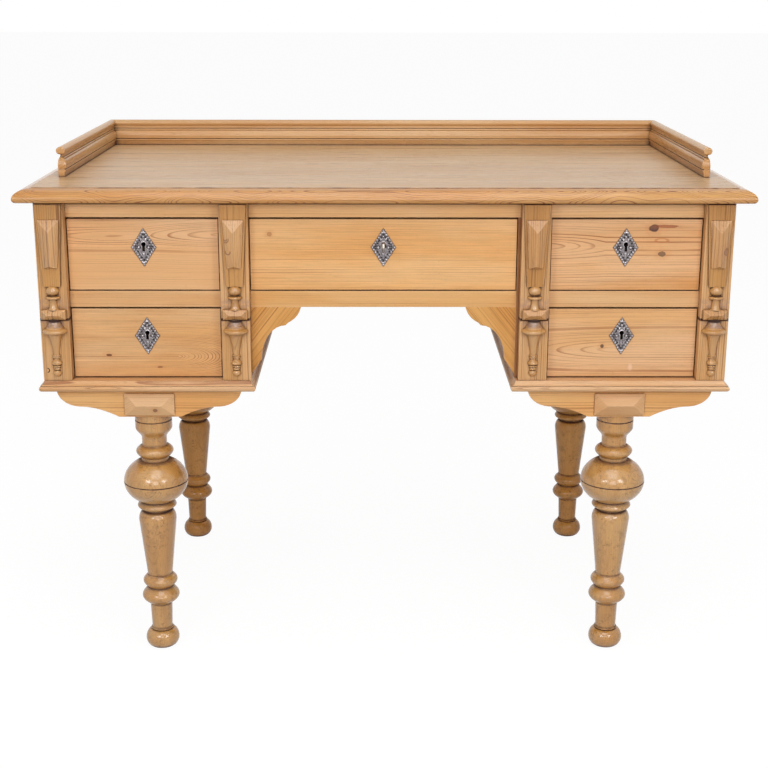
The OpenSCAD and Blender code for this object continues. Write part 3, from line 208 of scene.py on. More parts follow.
def branch_knot():
    """One knot, a branch cut across. Rings of the board swell round it as a bell curve of the
    distance, and inside its radius it has rings and a dark bark line of its own."""
    g, feed, give = new_group("branch knot", [
        ("Vector", "Vector", (0, 0, 0)), ("Place", "Vector", (0, 0, 0)),
        ("Radius", "Float", 0.008), ("Swell", "Float", 0.01), ("Long", "Float", 1.4),
        ("Color", "Color", (1, 1, 1, 1)), ("Heart", "Color", (0.2, 0.08, 0.03, 1)),
        ("Share", "Float", 1.0), ("Warp", "Float", 0.0)],
        [("Warp", "Float"), ("Color", "Color")])
    x, y, z = g.split(g.vector("SUBTRACT", feed["Vector"], feed["Place"]))
    wobble = g.noise(feed["Vector"], 2.0, 0.5, 130.0)
    away = g.math("SQRT", g.math("ADD", g.math("POWER", g.math("DIVIDE", x, feed["Long"]), 2.0),
                                 g.math("POWER", z, 2.0)))
    away = g.math("MULTIPLY", away, g.span(wobble, 0.2, 0.8, 0.8, 1.25, smooth=False))
    near = g.math("DIVIDE", away, feed["Radius"])
    bell = g.math("EXPONENT", g.math("MULTIPLY", g.math("MULTIPLY", near, near), -0.16))
    g.tree.links.new(g.math("MULTIPLY_ADD", bell, feed["Swell"], feed["Warp"]), give["Warp"])
    inside = g.span(near, 1.15, 0.85)
    own = g.span(g.math("FRACT", g.math("MULTIPLY", near, 3.3)), 0.3, 0.95)
    bark = g.math("MULTIPLY", g.span(near, 0.62, 0.95), inside)
    dark = g.vector("SCALE", feed["Heart"], 0.4)
    heart = g.mix(g.math("MULTIPLY", own, 0.4), feed["Heart"], dark)
    heart = g.mix(g.math("MULTIPLY", bark, 0.7), heart, dark)
    halo = g.math("MULTIPLY", g.span(near, 3.2, 1.0), 0.22)
    stained = g.mix(halo, feed["Color"], shade(196, 118, 58))
    inside = g.math("MULTIPLY", inside, feed["Share"])
    g.tree.links.new(g.mix(inside, stained, heart), give["Color"])
    return g.tree


def handled_surface_and_shade():
    """What a century of use leaves, and painted shade: the inner corners and the gaps between
    parts are darkened as painted shade that also stands for dark wax and dirt there, the arrises
    are pale where rubbed, and there are small dents and specks. Corners come from how closed in
    the surface is, arrises from how far a rounded normal turns away from the flat one."""
    g, feed, give = new_group("handled surface and shade", [
        ("Color", "Color", (1, 1, 1, 1)), ("Vector", "Vector", (0, 0, 0)),
        ("Grime", "Float", 0.8), ("Reach", "Float", 0.006), ("Arris", "Float", 0.5),
        ("Round", "Float", 0.0008), ("Specks", "Float", 0.3)],
        [("Color", "Color"), ("Normal", "Vector"), ("Grime", "Float")])
    closed = g.node("AmbientOcclusion", {"Distance": feed["Reach"]}, samples=6)
    patch = g.noise(feed["Vector"], 3.0, 0.6, 45.0)
    shade_and_grime = g.span(g.math("SUBTRACT", 1.0, closed.outputs["AO"]), 0.2, 0.68)
    shade_and_grime = g.math("MULTIPLY", g.math("MULTIPLY", shade_and_grime, g.span(patch, 0.2, 0.6, 0.55, 1.0)),
                   feed["Grime"], clamp=True)
    soft = g.node("Bevel", {"Radius": feed["Round"]}, samples=4)
    wide = g.node("Bevel", {"Radius": g.math("MULTIPLY", feed["Round"], 2.5)}, samples=4)
    flat = g.node("NewGeometry").outputs["Normal"]
    turn = g.vector("DOT_PRODUCT", wide.outputs[0], flat)
    arris = g.math("MULTIPLY", g.span(turn, 0.985, 0.86), g.span(patch, 0.35, 0.65))
    arris = g.math("MULTIPLY", g.math("MULTIPLY", arris, g.math("SUBTRACT", 1.0, shade_and_grime)),
                   feed["Arris"], clamp=True)
    specks = g.math("MULTIPLY", g.span(g.noise(feed["Vector"], 2.0, 0.6, 420.0), 0.68, 0.74),
                    feed["Specks"])
    colour = g.mix(arris, feed["Color"], shade(240, 200, 160))
    # Painted shade in corners and gaps, in a dark brown that also stands for old wax and dirt
    # there.
    colour = g.mix(shade_and_grime, colour, shade(66, 32, 16))
    colour = g.mix(g.math("MULTIPLY", specks, 0.6), colour, shade(86, 52, 30))
    g.tree.links.new(colour, give["Color"])
    g.tree.links.new(soft.outputs[0], give["Normal"])
    g.tree.links.new(shade_and_grime, give["Grime"])
    return g.tree


rings_group = growth_rings()
swirl_group = grain_swirl()
knot_group = branch_knot()
surface_group = handled_surface_and_shade()
# Turns that lay the rings' own X axis along the table's X, Z or Y, or lay a whole board flat.
ALONG_X = (0.0, 0.0, 0.0)
ALONG_Z = (0.0, math.pi / 2, 0.0)
ALONG_Y = (0.0, 0.0, -math.pi / 2)
LYING = (math.pi / 2, 0.0, 0.0)
honey = shade(226, 178, 130)
honey_warm = shade(216, 154, 92)
honey_late = shade(152, 86, 38)


class Board:
    """One wood finish in the making: the grain's direction and figure, knots, then the surface.
    A swirl is given as place, length, height and swell, and a knot as place, radius, swell,
    stretch along the grain, heart colour and how fully it shows."""

    def __init__(self, name, turn=ALONG_X, early=honey, warm=honey_warm, late=honey_late,
                 pith=(0, 0.07, 0.66), lean=0.0, plunge=1.0, ring=0.003, start=0.52, wander=0.012,
                 seed=1.0, contrast=0.5, fibre=0.22, stain=0.14, swirls=(), knots=()):
        self.material, self.w, self.surface = blank_material(name)
        self.place = self.w.node("TexCoord").outputs["Object"]
        local = self.w.node("Mapping", {"Vector": self.place, "Rotation": turn}).outputs[0]
        warp = 0.0
        for spot, reach, height, swell in swirls:
            warp = self.group(swirl_group, Vector=local, Place=spot, Long=reach, Tall=height,
                              Swell=swell, Warp=warp).outputs["Warp"]
        around = []
        for spot, radius, swell, stretch, heart, share in knots:
            knot = self.group(knot_group, Vector=local, Place=spot, Radius=radius, Swell=swell,
                              Long=stretch, Heart=heart, Share=share, Warp=warp)
            warp = knot.outputs["Warp"]
            around.append(knot)
        wood = self.group(rings_group, Vector=local, Pith=pith, Lean=lean, Plunge=plunge,
                          Ring=ring, Start=start, Wander=wander, Seed=seed, Warp=warp, Early=early,
                          Warm=warm, Late=late, Contrast=contrast, Fibre=fibre, Stain=stain)
        self.colour = wood.outputs["Color"]
        self.relief = wood.outputs["Height"]
        self.dull = wood.outputs["Dull"]
        self.dry = 0.0
        for knot in around:
            self.w.tree.links.new(self.colour, knot.inputs["Color"])
            self.colour = knot.outputs["Color"]

    def group(self, tree, **feeds):
        """Adds a shared effect with its sockets filled."""
        return self.w.node("Group", feeds, node_tree=tree)

    def tint(self, share, colour):
        """Lays a colour over the wood where share says."""
        self.colour = self.w.mix(share, self.colour, colour)

    def soil_and_shade(self, share, colour):
        """Lays a matt dark colour over the wood, for dry dirt and for painted shade alike, and
        takes its sheen off there.
        """
        self.tint(share, colour)
        self.dry = self.w.math("MAXIMUM", self.dry, share)

    def finish(self, shade_and_grime=0.8, reach=0.006, arris=0.45, round_r=0.0008, specks=0.25,
               rough=(0.34, 0.52), depth=0.00012, gloss=0.36):
        """Adds wear, painted shade in the corners and the waxed sheen, and returns the finished
        material.
        """
        w = self.w
        wear_and_shade = self.group(surface_group, Color=self.colour, Vector=self.place, Grime=shade_and_grime,
                          Reach=reach, Arris=arris, Round=round_r, Specks=specks)
        bump = w.node("Bump", {"Strength": 0.6, "Distance": depth, "Height": self.relief,
                               "Normal": wear_and_shade.outputs["Normal"]})
        sheen = w.span(self.dull, 0.3, 0.7, rough[0], rough[1], smooth=False)
        sheen = w.math("MULTIPLY_ADD", wear_and_shade.outputs["Grime"], 0.5, sheen, clamp=True)
        sheen = w.math("MAXIMUM", sheen, self.dry)
        coat = w.node("BsdfPrincipled", {"Base Color": wear_and_shade.outputs["Color"], "Roughness": sheen,
                                         "Normal": bump.outputs[0], "Specular IOR Level": gloss})
        w.tree.links.new(coat.outputs[0], self.surface)
        return self.material


def dress(material, *nodes):
    """Gives CAD nodes their finish."""
    for name in nodes:
        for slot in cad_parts[name].material_slots:
            slot.material = material


def edge_distance(w, place, half_x, front_y):
    """Distance in from the nearest moulded edge of a board: its front or either end."""
    x, y, z = w.split(place)
    return w.math("MINIMUM", w.math("SUBTRACT", half_x, w.math("ABSOLUTE", x)),
                  w.math("SUBTRACT", y, front_y))


top_low, top_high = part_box("top_board")
under_top, writing_z = top_low.z, top_high.z
top = Board("waxed_top", LYING, early=shade(206, 172, 132), warm=shade(200, 160, 114),
            late=shade(160, 118, 80), pith=(0, 0.05, -0.15), ring=0.011, wander=0.06, seed=4.2,
            contrast=0.35, fibre=0.12, stain=0.4)
thumb_w = 0.024
edge_in = edge_distance(top.w, top.place, top_high.x, top_low.y)
moulding = top.w.span(edge_in, thumb_w + 0.0006, thumb_w - 0.001)
bend = top.w.noise(top.w.vector("MULTIPLY", top.place, (4.0, 0.0, 0.0)), 2.0)
edge_wood = top.group(
    rings_group, Vector=top.w.node("Mapping", {"Vector": top.place, "Rotation": LYING}).outputs[0],
    Pith=(0, -0.780, -0.300), Ring=0.0023, Wander=0.012, Seed=9.1, Start=0.6,
    Warp=top.w.math("MULTIPLY", bend, 0.09), Early=shade(206, 154, 92), Warm=shade(198, 136, 68),
    Late=shade(140, 82, 38), Contrast=1.3, Fibre=0.22, Stain=0.14)
for spread, low, share in (((9.0, 170.0, 170.0), 0.60, 0.45),
                           ((32.0, 300.0, 300.0), 0.58, 0.5)):
    streak = top.w.noise(top.w.vector("MULTIPLY", top.place, spread), 2.0, 0.6)
    top.tint(top.w.span(streak, low, low + 0.12, 0.0, share), shade(146, 104, 66))
for mark_x, mark_y, mark_half, share in ((-0.533, -0.1442, 0.012, 0.8),
                                         (0.5263, -0.1737, 0.010, 0.55)):
    away = top.w.away(top.place, (mark_x, mark_y, writing_z), (1.0, 3.6, 0.0))
    top.tint(top.w.span(away, mark_half, mark_half * 0.6, 0.0, share), shade(104, 62, 46))
top.tint(moulding, edge_wood.outputs["Color"])
score = top.w.math("MULTIPLY", top.w.span(top.w.gap(edge_in, thumb_w), 0.0022, 0.0006),
                   top.w.span(top.w.noise(top.place, 3.0, 0.6, 24.0), 0.42, 0.6, 0.1, 0.8))
top.tint(score, shade(104, 58, 30))
top.dull = top.w.math("MULTIPLY_ADD", moulding, -0.6, top.dull)
dress(top.finish(rough=(0.14, 0.56), specks=0.35, round_r=0.0012, gloss=0.5), "top_board")


# Gallery: three strips of pine run with the same moulding, mitred at the back corners and glued
# and nailed to the top. Their hollows and inner corners are darkened with painted shade, which
# also stands for old wax there.
for name, turn, seed, pith, nodes in (
        ("gallery_rail_wood", ALONG_X, 2.3, (0, 0.36, 0.70), ("gallery_back",)),
        ("gallery_side_wood", ALONG_Y, 5.3, (0, 0.45, 0.70), ("gallery_left", "gallery_right"))):
    board = Board(name, turn, early=shade(208, 165, 113), warm=shade(197, 145, 88),
                  late=shade(138, 84, 42), pith=pith, seed=seed, stain=0.2)
    height = board.w.split(board.place)[2]
    # A dark line is painted along the foot of each rail, where it meets the top.
    board.soil_and_shade(board.w.span(height, writing_z + 0.0020, writing_z + 0.0006, 0.0, 0.85),
               shade(50, 28, 16))
    dress(board.finish(shade_and_grime=1.0, reach=0.012, rough=(0.22, 0.36), gloss=0.5), *nodes)


# Carcass: wide pine boards glued up for the sides and partitions, with thin boards nailed into a
# rabbet across the back. The sides are waxed like the front, and the back was left as it was sawn.
dress(Board("side_board_wood", ALONG_Y, pith=(0, 0.48, 0.55), ring=0.005, wander=0.03,
            seed=12.0, contrast=0.5).finish(), "side_panel_left", "side_panel_right")
# The partitions face into the kneehole, and their wood is painted darker than the sides as painted
# shade.
dress(Board("partition_wood_shaded", ALONG_Y, early=shade(160, 110, 66), warm=shade(150, 98, 54),
            late=shade(120, 72, 36), pith=(0, 0.1, 0.55), ring=0.005, wander=0.04,
            seed=14.0).finish(rough=(0.5, 0.7)), "partition_left", "partition_right")
raw_early = shade(196, 154, 106)
raw_warm = shade(188, 140, 90)
raw_late = shade(150, 104, 62)
dress(Board("back_board_wood", ALONG_X, early=raw_early, warm=raw_warm, late=raw_late,
            pith=(0, 0.36, 0.62), ring=0.007, wander=0.06, seed=17.0, contrast=0.6,
            stain=0.4).finish(rough=(0.6, 0.8), specks=0.5), "back_panels")


# Rails: planed pine strips tenoned between the partitions and sides, over and under the drawers.
# The hidden back rails are the same timber without wax.
for name, early, warm, nodes in (
        # Painted light: the front top rail's wood is lighter than the other rails, to make up for
        # the shade under the top.
        ("top_rail_wood_lit", shade(236, 192, 142), shade(228, 176, 116), ("top_rail_front",)),
        ("mid_rail_wood", shade(224, 179, 128), shade(214, 160, 104),
         ("mid_rail_left", "mid_rail_right")),
        ("centre_rail_wood", shade(224, 174, 114), shade(214, 156, 90), ("centre_rails",))):
    board = Board(name, ALONG_X, early=early, warm=warm, pith=(0, -0.2, 0.70), seed=21.0,
                  contrast=0.4)
    height = board.w.split(board.place)[2]
    # Painted shadow: a dark band just under the underside of the top, where its overhang shades
    # the rails.
    board.soil_and_shade(board.w.span(height, under_top - 0.0078, under_top - 0.0060, 0.0, 0.92),
               shade(44, 20, 10))
    dress(board.finish(reach=0.004, shade_and_grime=1.0), *nodes)
dress(Board("hidden_rail_wood", ALONG_X, early=raw_early, warm=raw_warm, late=raw_late,
            seed=23.0).finish(rough=(0.6, 0.8)), "top_rail_back")


# Runners and guides: plain strips of raw pine nailed inside the carcass, polished dark along the
# tracks by the drawers.
dress(Board("runner_wood", ALONG_Y, early=raw_early, warm=raw_warm, late=raw_late,
            seed=25.0).finish(rough=(0.45, 0.7)), "drawer_runners", "drawer_guides")


# Base boards: one pine board under each pedestal, with a round nose and a cove along the front
# and both sides. Shoes and brooms have dented the nose.
dress(Board("base_wood", ALONG_X, early=shade(223, 179, 134), warm=shade(212, 160, 107),
            late=shade(140, 78, 36), pith=(0, -0.18, 0.44), seed=31.0, contrast=0.8,
            swirls=(((-0.44, -0.28, 0.47), 0.05, 0.012, 0.003),
                    ((0.30, -0.28, 0.47), 0.07, 0.012, 0.003))).finish(
    arris=0.7, round_r=0.0012, shade_and_grime=0.9), "base_board_left", "base_board_right")


# Bearers: a board on edge under each pedestal at the front and the back, sawn to a long curve,
# glued to the base board. A faceted block is glued on each front bearer over the leg.
dress(Board("bearer_wood", ALONG_X, early=shade(234, 184, 122), warm=shade(224, 164, 98),
            late=shade(150, 84, 36), pith=(0, -0.26, 0.40), ring=0.0042, seed=33.0,
            contrast=1.0, stain=0.2).finish(),
      "bearer_front_left", "bearer_front_right", "bearer_back_left", "bearer_back_right")
knot_brown = shade(120, 68, 40)
dress(Board("bearer_block_wood", ALONG_X, early=shade(224, 180, 132), warm=shade(212, 158, 106),
            late=shade(160, 98, 54), pith=(0, -0.40, 0.36), seed=35.0, contrast=0.3,
            knots=(((-0.3682, -0.28, 0.430), 0.0032, 0.006, 1.2, knot_brown, 0.7),)).finish(),
      "bearer_blocks")


# Legs: turned from one length of pine each, tenoned into the bearers. The wax is darker and
# yellower than on the case. The dark lines in the quirks between the beads and in the turned
# grooves are partly settled dirt and partly painted shade, and the back legs have a darker copy of
# the wood as painted shade.
turned_lines = (0.299, 0.404)
quirks = (0.036, 0.080, 0.110, 0.133, 0.247, 0.264, 0.334, 0.361)
for name, early, warm, gloss, nodes in (
        ("front_leg_wood", shade(207, 158, 95), shade(193, 138, 71), 0.8,
         ("leg_front_left", "leg_front_right")),
        # The back legs stand in shade behind the front legs, and their wood is a darker, more
        # saturated copy as painted shade.
        ("back_leg_wood_shaded", shade(206, 150, 82), shade(190, 130, 60), 0.3,
         ("leg_back_left", "leg_back_right"))):
    legs = Board(name, ALONG_Z, early=early, warm=warm, late=shade(140, 84, 38),
                 pith=(0, 0.1, 0.24), ring=0.0024, seed=41.0, contrast=0.3, fibre=0.30,
                 stain=0.36)
    w = legs.w
    height = w.split(legs.place)[2]
    broken = w.noise(legs.place, 3.0, 0.6, 60.0)
    # Partly dirt and partly painted shade: a dark line along each turned groove.
    for line_z in turned_lines:
        cut_line = w.span(w.gap(height, line_z), 0.0017, 0.0007)
        legs.soil_and_shade(w.math("MULTIPLY", cut_line, w.span(broken, 0.3, 0.55, 0.5, 0.95)),
                  shade(84, 42, 18))
    mottle = w.span(w.noise(legs.place, 4.0, 0.7, 70.0), 0.5, 0.72, 0.0, 0.45)
    legs.tint(mottle, shade(140, 96, 52))
    pits = w.math("MULTIPLY", w.span(w.noise(legs.place, 2.0, 0.5, 240.0), 0.56, 0.68, 0.0, 0.38),
                  w.span(w.noise(legs.place, 2.0, 0.5, 26.0), 0.40, 0.60))
    legs.tint(pits, shade(92, 58, 32))
    # Partly dirt and partly painted shade: a dark line in each quirk between the beads.
    for quirk_z in quirks:
        quirk = w.span(w.gap(height, quirk_z), 0.0034, 0.0006)
        legs.soil_and_shade(w.math("MULTIPLY", quirk, w.span(broken, 0.3, 0.6, 0.35, 0.72)),
                  shade(88, 50, 24))
    dress(legs.finish(shade_and_grime=1.0, reach=0.012, specks=1.0, arris=0.6, rough=(0.12, 0.22),
                      gloss=gloss), *nodes)


# Pilasters: a flat pine post with its grain upright, glued over each edge of the carcass. Old
# glue and wax have left a grey bloom round the ornaments. A hooked crack has opened at the foot
# of the outer left one, and two nails show at the head of the inner right one.
posts = Board("post_wood", ALONG_Z, early=shade(216, 169, 118), warm=shade(200, 148, 90),
              late=shade(112, 60, 28), pith=(0, -0.25, 0.19), ring=0.0036, seed=51.0,
              contrast=0.9)
cap_low, cap_high = (corner.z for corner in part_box("pilaster_caps"))
w = posts.w
x, y, z = w.split(posts.place)
bloom = w.math(
    "ADD", w.band(z, cap_low - 0.017, cap_low - 0.007, cap_low - 0.001, cap_low + 0.007),
    w.band(z, cap_high - 0.002, cap_high + 0.004, cap_high + 0.010, cap_high + 0.024))
bloom = w.math("MULTIPLY", bloom, w.span(w.noise(posts.place, 3.0, 0.65, 160.0), 0.38, 0.6))
posts.tint(w.math("MULTIPLY", bloom, 0.6), shade(166, 132, 114))
# Painted shadow: a dark band on each post just under its hipped cap.
posts.soil_and_shade(w.band(z, cap_low - 0.0050, cap_low - 0.0025, cap_low + 0.0004, cap_low + 0.0012),
           shade(70, 38, 22))
# Painted shadow: a dark band just under the underside of the top, where its overhang shades the
# posts.
posts.soil_and_shade(w.span(z, under_top - 0.0048, under_top - 0.0032, 0.0, 0.92), shade(44, 20, 10))
crook = w.away(posts.place, (-0.5368, 0.0, 0.4968))
crack = w.math("MULTIPLY", w.band(crook, 0.0022, 0.0030, 0.0038, 0.0046),
               w.span(x, -0.5372, -0.5360))
posts.tint(crack, shade(40, 20, 14))
for nail_x, nail_z in ((0.2179, 0.7458), (0.2442, 0.7473)):
    away = w.away(posts.place, (nail_x, 0.0, nail_z))
    posts.tint(w.span(away, 0.0016, 0.0008, 0.0, 0.8), shade(70, 40, 26))
dress(posts.finish(shade_and_grime=0.9, reach=0.009),
      "post_outer_left", "post_inner_left", "post_inner_right", "post_outer_right")


# Ornaments of the pilasters: a tapered plaque with a faceted block, a half ball on a waist, a
# hipped block and a split-turned drop, all glued on. Glue and wax have greyed round them, and
# the grain curls on the inner left faceted block.
dress(Board("plaque_wood", ALONG_Z, early=shade(196, 144, 84), warm=shade(180, 126, 68),
            late=shade(108, 62, 28), pith=(0, -0.27, 0.22), ring=0.0036, seed=53.0,
            contrast=0.9).finish(shade_and_grime=1.0, reach=0.009), "pilaster_plaques")
blocks = Board("block_wood", ALONG_Z, early=shade(208, 158, 102), warm=shade(194, 140, 80),
               late=shade(112, 62, 28), pith=(0, -0.30, 0.21), ring=0.004, seed=55.0,
               wander=0.02, contrast=0.85,
               knots=(((0.6888, -0.295, -0.5309), 0.0050, 0.008, 1.3, shade(150, 92, 50), 0.7),))
w = blocks.w
height = w.split(blocks.place)[2]
for curl_x, curl_z, curl_r in ((-0.2478, 0.7085, 0.0052), (-0.2440, 0.6890, 0.0040),
                               (-0.2478, 0.7085, 0.0024)):
    arc = w.span(w.gap(w.away(blocks.place, (curl_x, 0.0, curl_z)), curl_r), 0.0013, 0.0004)
    below = w.span(height, curl_z + curl_r * 0.6, curl_z)
    blocks.tint(w.math("MULTIPLY", w.math("MULTIPLY", arc, below), 0.75), shade(110, 60, 30))
dress(blocks.finish(rough=(0.22, 0.36), gloss=0.8, reach=0.009), "pilaster_diamonds",
      "pilaster_caps")
turned = Board("split_turning_wood", ALONG_Z, early=shade(206, 156, 96),
               warm=shade(192, 138, 74), late=shade(140, 86, 42), pith=(0, -0.25, 0.22),
               ring=0.0024, seed=57.0, contrast=0.35)
w = turned.w
height = w.split(turned.place)[2]
glue_film = w.math(
    "MULTIPLY", w.span(w.noise(turned.place, 3.0, 0.65, 160.0), 0.36, 0.56, 0.35, 0.85),
    w.band(height, cap_low - 0.0145, cap_low - 0.0110, cap_low - 0.0010, cap_low + 0.0010))
turned.tint(glue_film, shade(150, 118, 102))
# Painted shadow: a dark band on each turning just under its hipped cap.
turned.soil_and_shade(w.band(height, cap_low - 0.0065, cap_low - 0.0035, cap_low + 0.0004,
                   cap_low + 0.0012), shade(50, 26, 16))
dress(turned.finish(shade_and_grime=1.0, reach=0.009, rough=(0.10, 0.18), gloss=0.8),
      "pilaster_knops", "pilaster_drops")


# Spandrels: brackets sawn from board with the grain on the slant, glued into the kneehole's
# corners.
SLANT_LEFT = (0.0, math.radians(52), 0.0)
SLANT_RIGHT = (0.0, math.radians(128), 0.0)
for side, slant, seed in (("left", SLANT_LEFT, 61.0), ("right", SLANT_RIGHT, 63.0)):
    dress(Board("spandrel_wood_" + side, slant, early=shade(216, 161, 92),
                warm=shade(204, 144, 72), late=shade(140, 76, 30), pith=(0, -0.24, 0.3),
                ring=0.005, seed=seed, contrast=0.95).finish(), "spandrel_" + side)


# Drawer fronts: solid pine with the grain running across, each from a different part of the
# trunk, so their figure differs. Knots are where the branches were.
dead_knot = shade(96, 62, 54)
grey_knot = shade(112, 82, 58)
rust = shade(168, 88, 48)
fronts = {
    "upper_left": dict(
        pith=(-0.262, -0.2715, 0.7115), lean=-0.13, plunge=0.0145, ring=0.0034, seed=71.0,
        wander=0.006, contrast=0.95, early=shade(227, 182, 136), warm=shade(224, 171, 118),
        swirls=(((-0.43, -0.27, 0.70), 0.09, 0.02, -0.004),)),
    "upper_right": dict(
        pith=(0.2500, -0.2715, 0.6936), lean=0.13, plunge=0.0125, ring=0.0045, seed=73.0,
        wander=0.006, contrast=0.95,
        swirls=(((0.4345, -0.27, 0.7028), 0.020, 0.0035, 0.010),
                ((0.40, -0.27, 0.672), 0.10, 0.012, 0.006)),
        knots=(((0.4215, -0.27, 0.7226), 0.0058, 0.010, 1.3, dead_knot, 1.0),
               ((0.4420, -0.27, 0.7252), 0.0024, 0.0, 8.0, rust, 0.75),
               ((0.4357, -0.27, 0.6814), 0.0042, 0.006, 1.5, grey_knot, 0.8))),
    "lower_left": dict(
        pith=(-0.331, -0.2705, 0.5150), lean=0.30, ring=0.0018, seed=75.0, wander=0.004,
        contrast=1.3, early=shade(224, 180, 130), warm=shade(216, 162, 104),
        knots=(((-0.4405, -0.27, 0.5172), 0.0022, 0.004, 2.2, knot_brown, 0.9),
               ((-0.3604, -0.27, 0.4973), 0.0013, 0.002, 3.4, knot_brown, 0.8))),
    "lower_right": dict(
        pith=(0.372, -0.2715, 0.5262), lean=-0.125, ring=0.0038, seed=77.0, wander=0.006,
        contrast=0.9, early=shade(226, 181, 135), warm=shade(221, 169, 113),
        swirls=(((0.500, -0.27, 0.5222), 0.056, 0.0075, 0.018),),
        knots=(((0.3477, -0.27, 0.5322), 0.0031, 0.005, 1.0, grey_knot, 0.95),)),
    "centre": dict(
        pith=(0, -0.235, 0.58), ring=0.0030, seed=79.0, contrast=0.7, stain=0.2,
        early=shade(230, 181, 124), warm=shade(224, 164, 98),
        knots=(((-0.181, -0.27, 0.7125), 0.0034, 0.006, 1.1, shade(176, 112, 66), 0.55),)),
}
face_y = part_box("centre_front")[0].y
dirt_half_x, dirt_half_z = 0.0195, 0.0295
for name, figure in fronts.items():
    board = Board(name + "_front_wood", ALONG_X, start=0.66, fibre=0.42, **figure)
    w = board.w
    low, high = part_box(name + "_front")
    x, y, z = w.split(w.vector("SUBTRACT", board.place, tuple((low + high) / 2)))
    half = (high - low) / 2
    ragged = w.noise(board.place, 3.0, 0.6, 90.0)
    # Painted shade with some edge dirt: dark strips along the bottom edge and the end toward the
    # middle of each front, for the shade in the gaps beside them.
    edge = w.span(w.math("MULTIPLY", z, -1.0), half.z - 0.0011, half.z - 0.0004)
    if name != "centre":
        inward = w.math("MULTIPLY", x, -1.0 if name.endswith("right") else 1.0)
        edge = w.math("MAXIMUM", edge, w.span(inward, half.x - 0.0025, half.x - 0.0016))
    edge = w.math("MULTIPLY", edge, w.span(ragged, 0.3, 0.6, 0.7, 1.0))
    plate_low, plate_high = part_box(name + "_escutcheon")
    plate = (plate_low + plate_high) / 2
    x, y, z = w.split(w.vector("SUBTRACT", board.place, tuple(plate)))
    share = w.math("ADD", w.math("DIVIDE", w.math("ABSOLUTE", x), dirt_half_x),
                   w.math("DIVIDE", w.math("ABSOLUTE", z), dirt_half_z))
    dirt = w.math("MULTIPLY", w.span(share, 1.12, 1.0), w.span(ragged, 0.3, 0.7, 0.25, 0.7))
    if name == "lower_right":
        chip = w.away(board.place, (0.3943, 0.0, 0.4973), (1.0, 0.0, 0.6))
        board.tint(w.span(chip, 0.0046, 0.0018, 0.0, 0.5), shade(246, 208, 178))
    if name == "upper_right":
        around = w.away(board.place, (0.4345, 0.0, 0.7028), (1.0, 0.0, 3.0))
        loop = w.span(w.gap(around, 0.0095), 0.0036, 0.0010)
        board.tint(w.math("MULTIPLY", loop, 0.5), shade(184, 100, 48))
    if name == "upper_left":
        plain = w.span(w.split(board.place)[2], 0.694, 0.676, 0.0, 0.6)
        board.tint(plain, shade(222, 171, 116))
    board.soil_and_shade(edge, shade(70, 30, 14))
    board.tint(dirt, shade(120, 78, 50))
    # Painted shade: the wood under the middle of each plate is near black, as the shade seen
    # through the keyhole and the piercings.
    board.soil_and_shade(w.span(share, 0.62, 0.55), shade(22, 12, 9))
    dress(board.finish(reach=0.004, shade_and_grime=1.0), name + "_front")


# Drawer boxes: thin raw pine sides and backs, dovetailed, with a bottom board slid in a groove.
dress(Board("drawer_box_wood", ALONG_Y, early=raw_early, warm=raw_warm, late=raw_late,
            ring=0.005, wander=0.03, seed=81.0, contrast=0.5).finish(
    rough=(0.6, 0.8), specks=0.4),
      *[name + "_box" for name in fronts])


# Locks: folded brass cases let into the back of each front and held by two iron screws, with an
# iron bolt.
def old_metal(name, bright, dark, rough, seed, holes=()):
    """Cast or rolled metal gone dull: bright where it is rubbed, dark and rougher in the dips, and
    painted black round the keyholes as the shade inside them."""
    material, w, surface = blank_material(name)
    here = w.node("TexCoord").outputs["Object"]
    place = w.vector("ADD", here, (seed, 0.0, 0.0))
    patches = w.noise(place, 4.0, 0.6, 90.0)
    fine = w.noise(place, 3.0, 0.6, 700.0)
    closed = w.node("AmbientOcclusion", {"Distance": 0.0016}, samples=6, only_local=True)
    dip = w.span(closed.outputs["AO"], 0.95, 0.45)
    dull = w.math("MAXIMUM", w.span(patches, 0.35, 0.7), dip)
    colour = w.mix(dull, bright, dark)
    # Painted shade: near black round each keyhole.
    for hole_x, hole_z in holes:
        away = w.away(here, (hole_x, 0.0, hole_z))
        colour = w.mix(w.span(away, 0.0085, 0.0070), colour, shade(12, 8, 6))
    soft = w.node("Bevel", {"Radius": 0.0003}, samples=4)
    bump = w.node("Bump", {"Strength": 0.5, "Distance": 0.0002, "Height": fine,
                           "Normal": soft.outputs[0]})
    metal = w.node("BsdfPrincipled", {
        "Base Color": colour, "Metallic": w.span(dip, 0.0, 1.0, 1.0, 0.55, smooth=False),
        "Roughness": w.span(dull, 0.0, 1.0, rough[0], rough[1], smooth=False),
        "Normal": bump.outputs[0]})
    w.tree.links.new(metal.outputs[0], surface)
    return material


keyhole_up = 0.005
keyholes = []
for name in fronts:
    low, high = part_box(name + "_escutcheon")
    keyholes.append(((low.x + high.x) / 2, (low.z + high.z) / 2 + keyhole_up))
dress(old_metal("dull_brass", shade(190, 160, 100), shade(110, 84, 48), (0.35, 0.6), 3.0,
                keyholes), *[name + "_lock" for name in fronts])
old_iron = old_metal("old_iron", shade(170, 160, 150), shade(70, 58, 50), (0.3, 0.6), 6.0)
dress(old_iron, "centre_lock_bolt")


# Escutcheons: thin cast pewter lozenges, pierced and beaded, with a raised rim round the
# keyhole, two bosses and small leaves. Each is held by two small pins.
plate_half = (0.0174, 0.0274)
bead_r, bead_steps = 0.0021, 7
hole_r, hole_in = 0.0012, 0.0036
plate_t, lowest, highest = 0.0012, 0.0003, 0.0024
key_r, slot_half, slot_low = 0.0034, 0.0019, -0.006


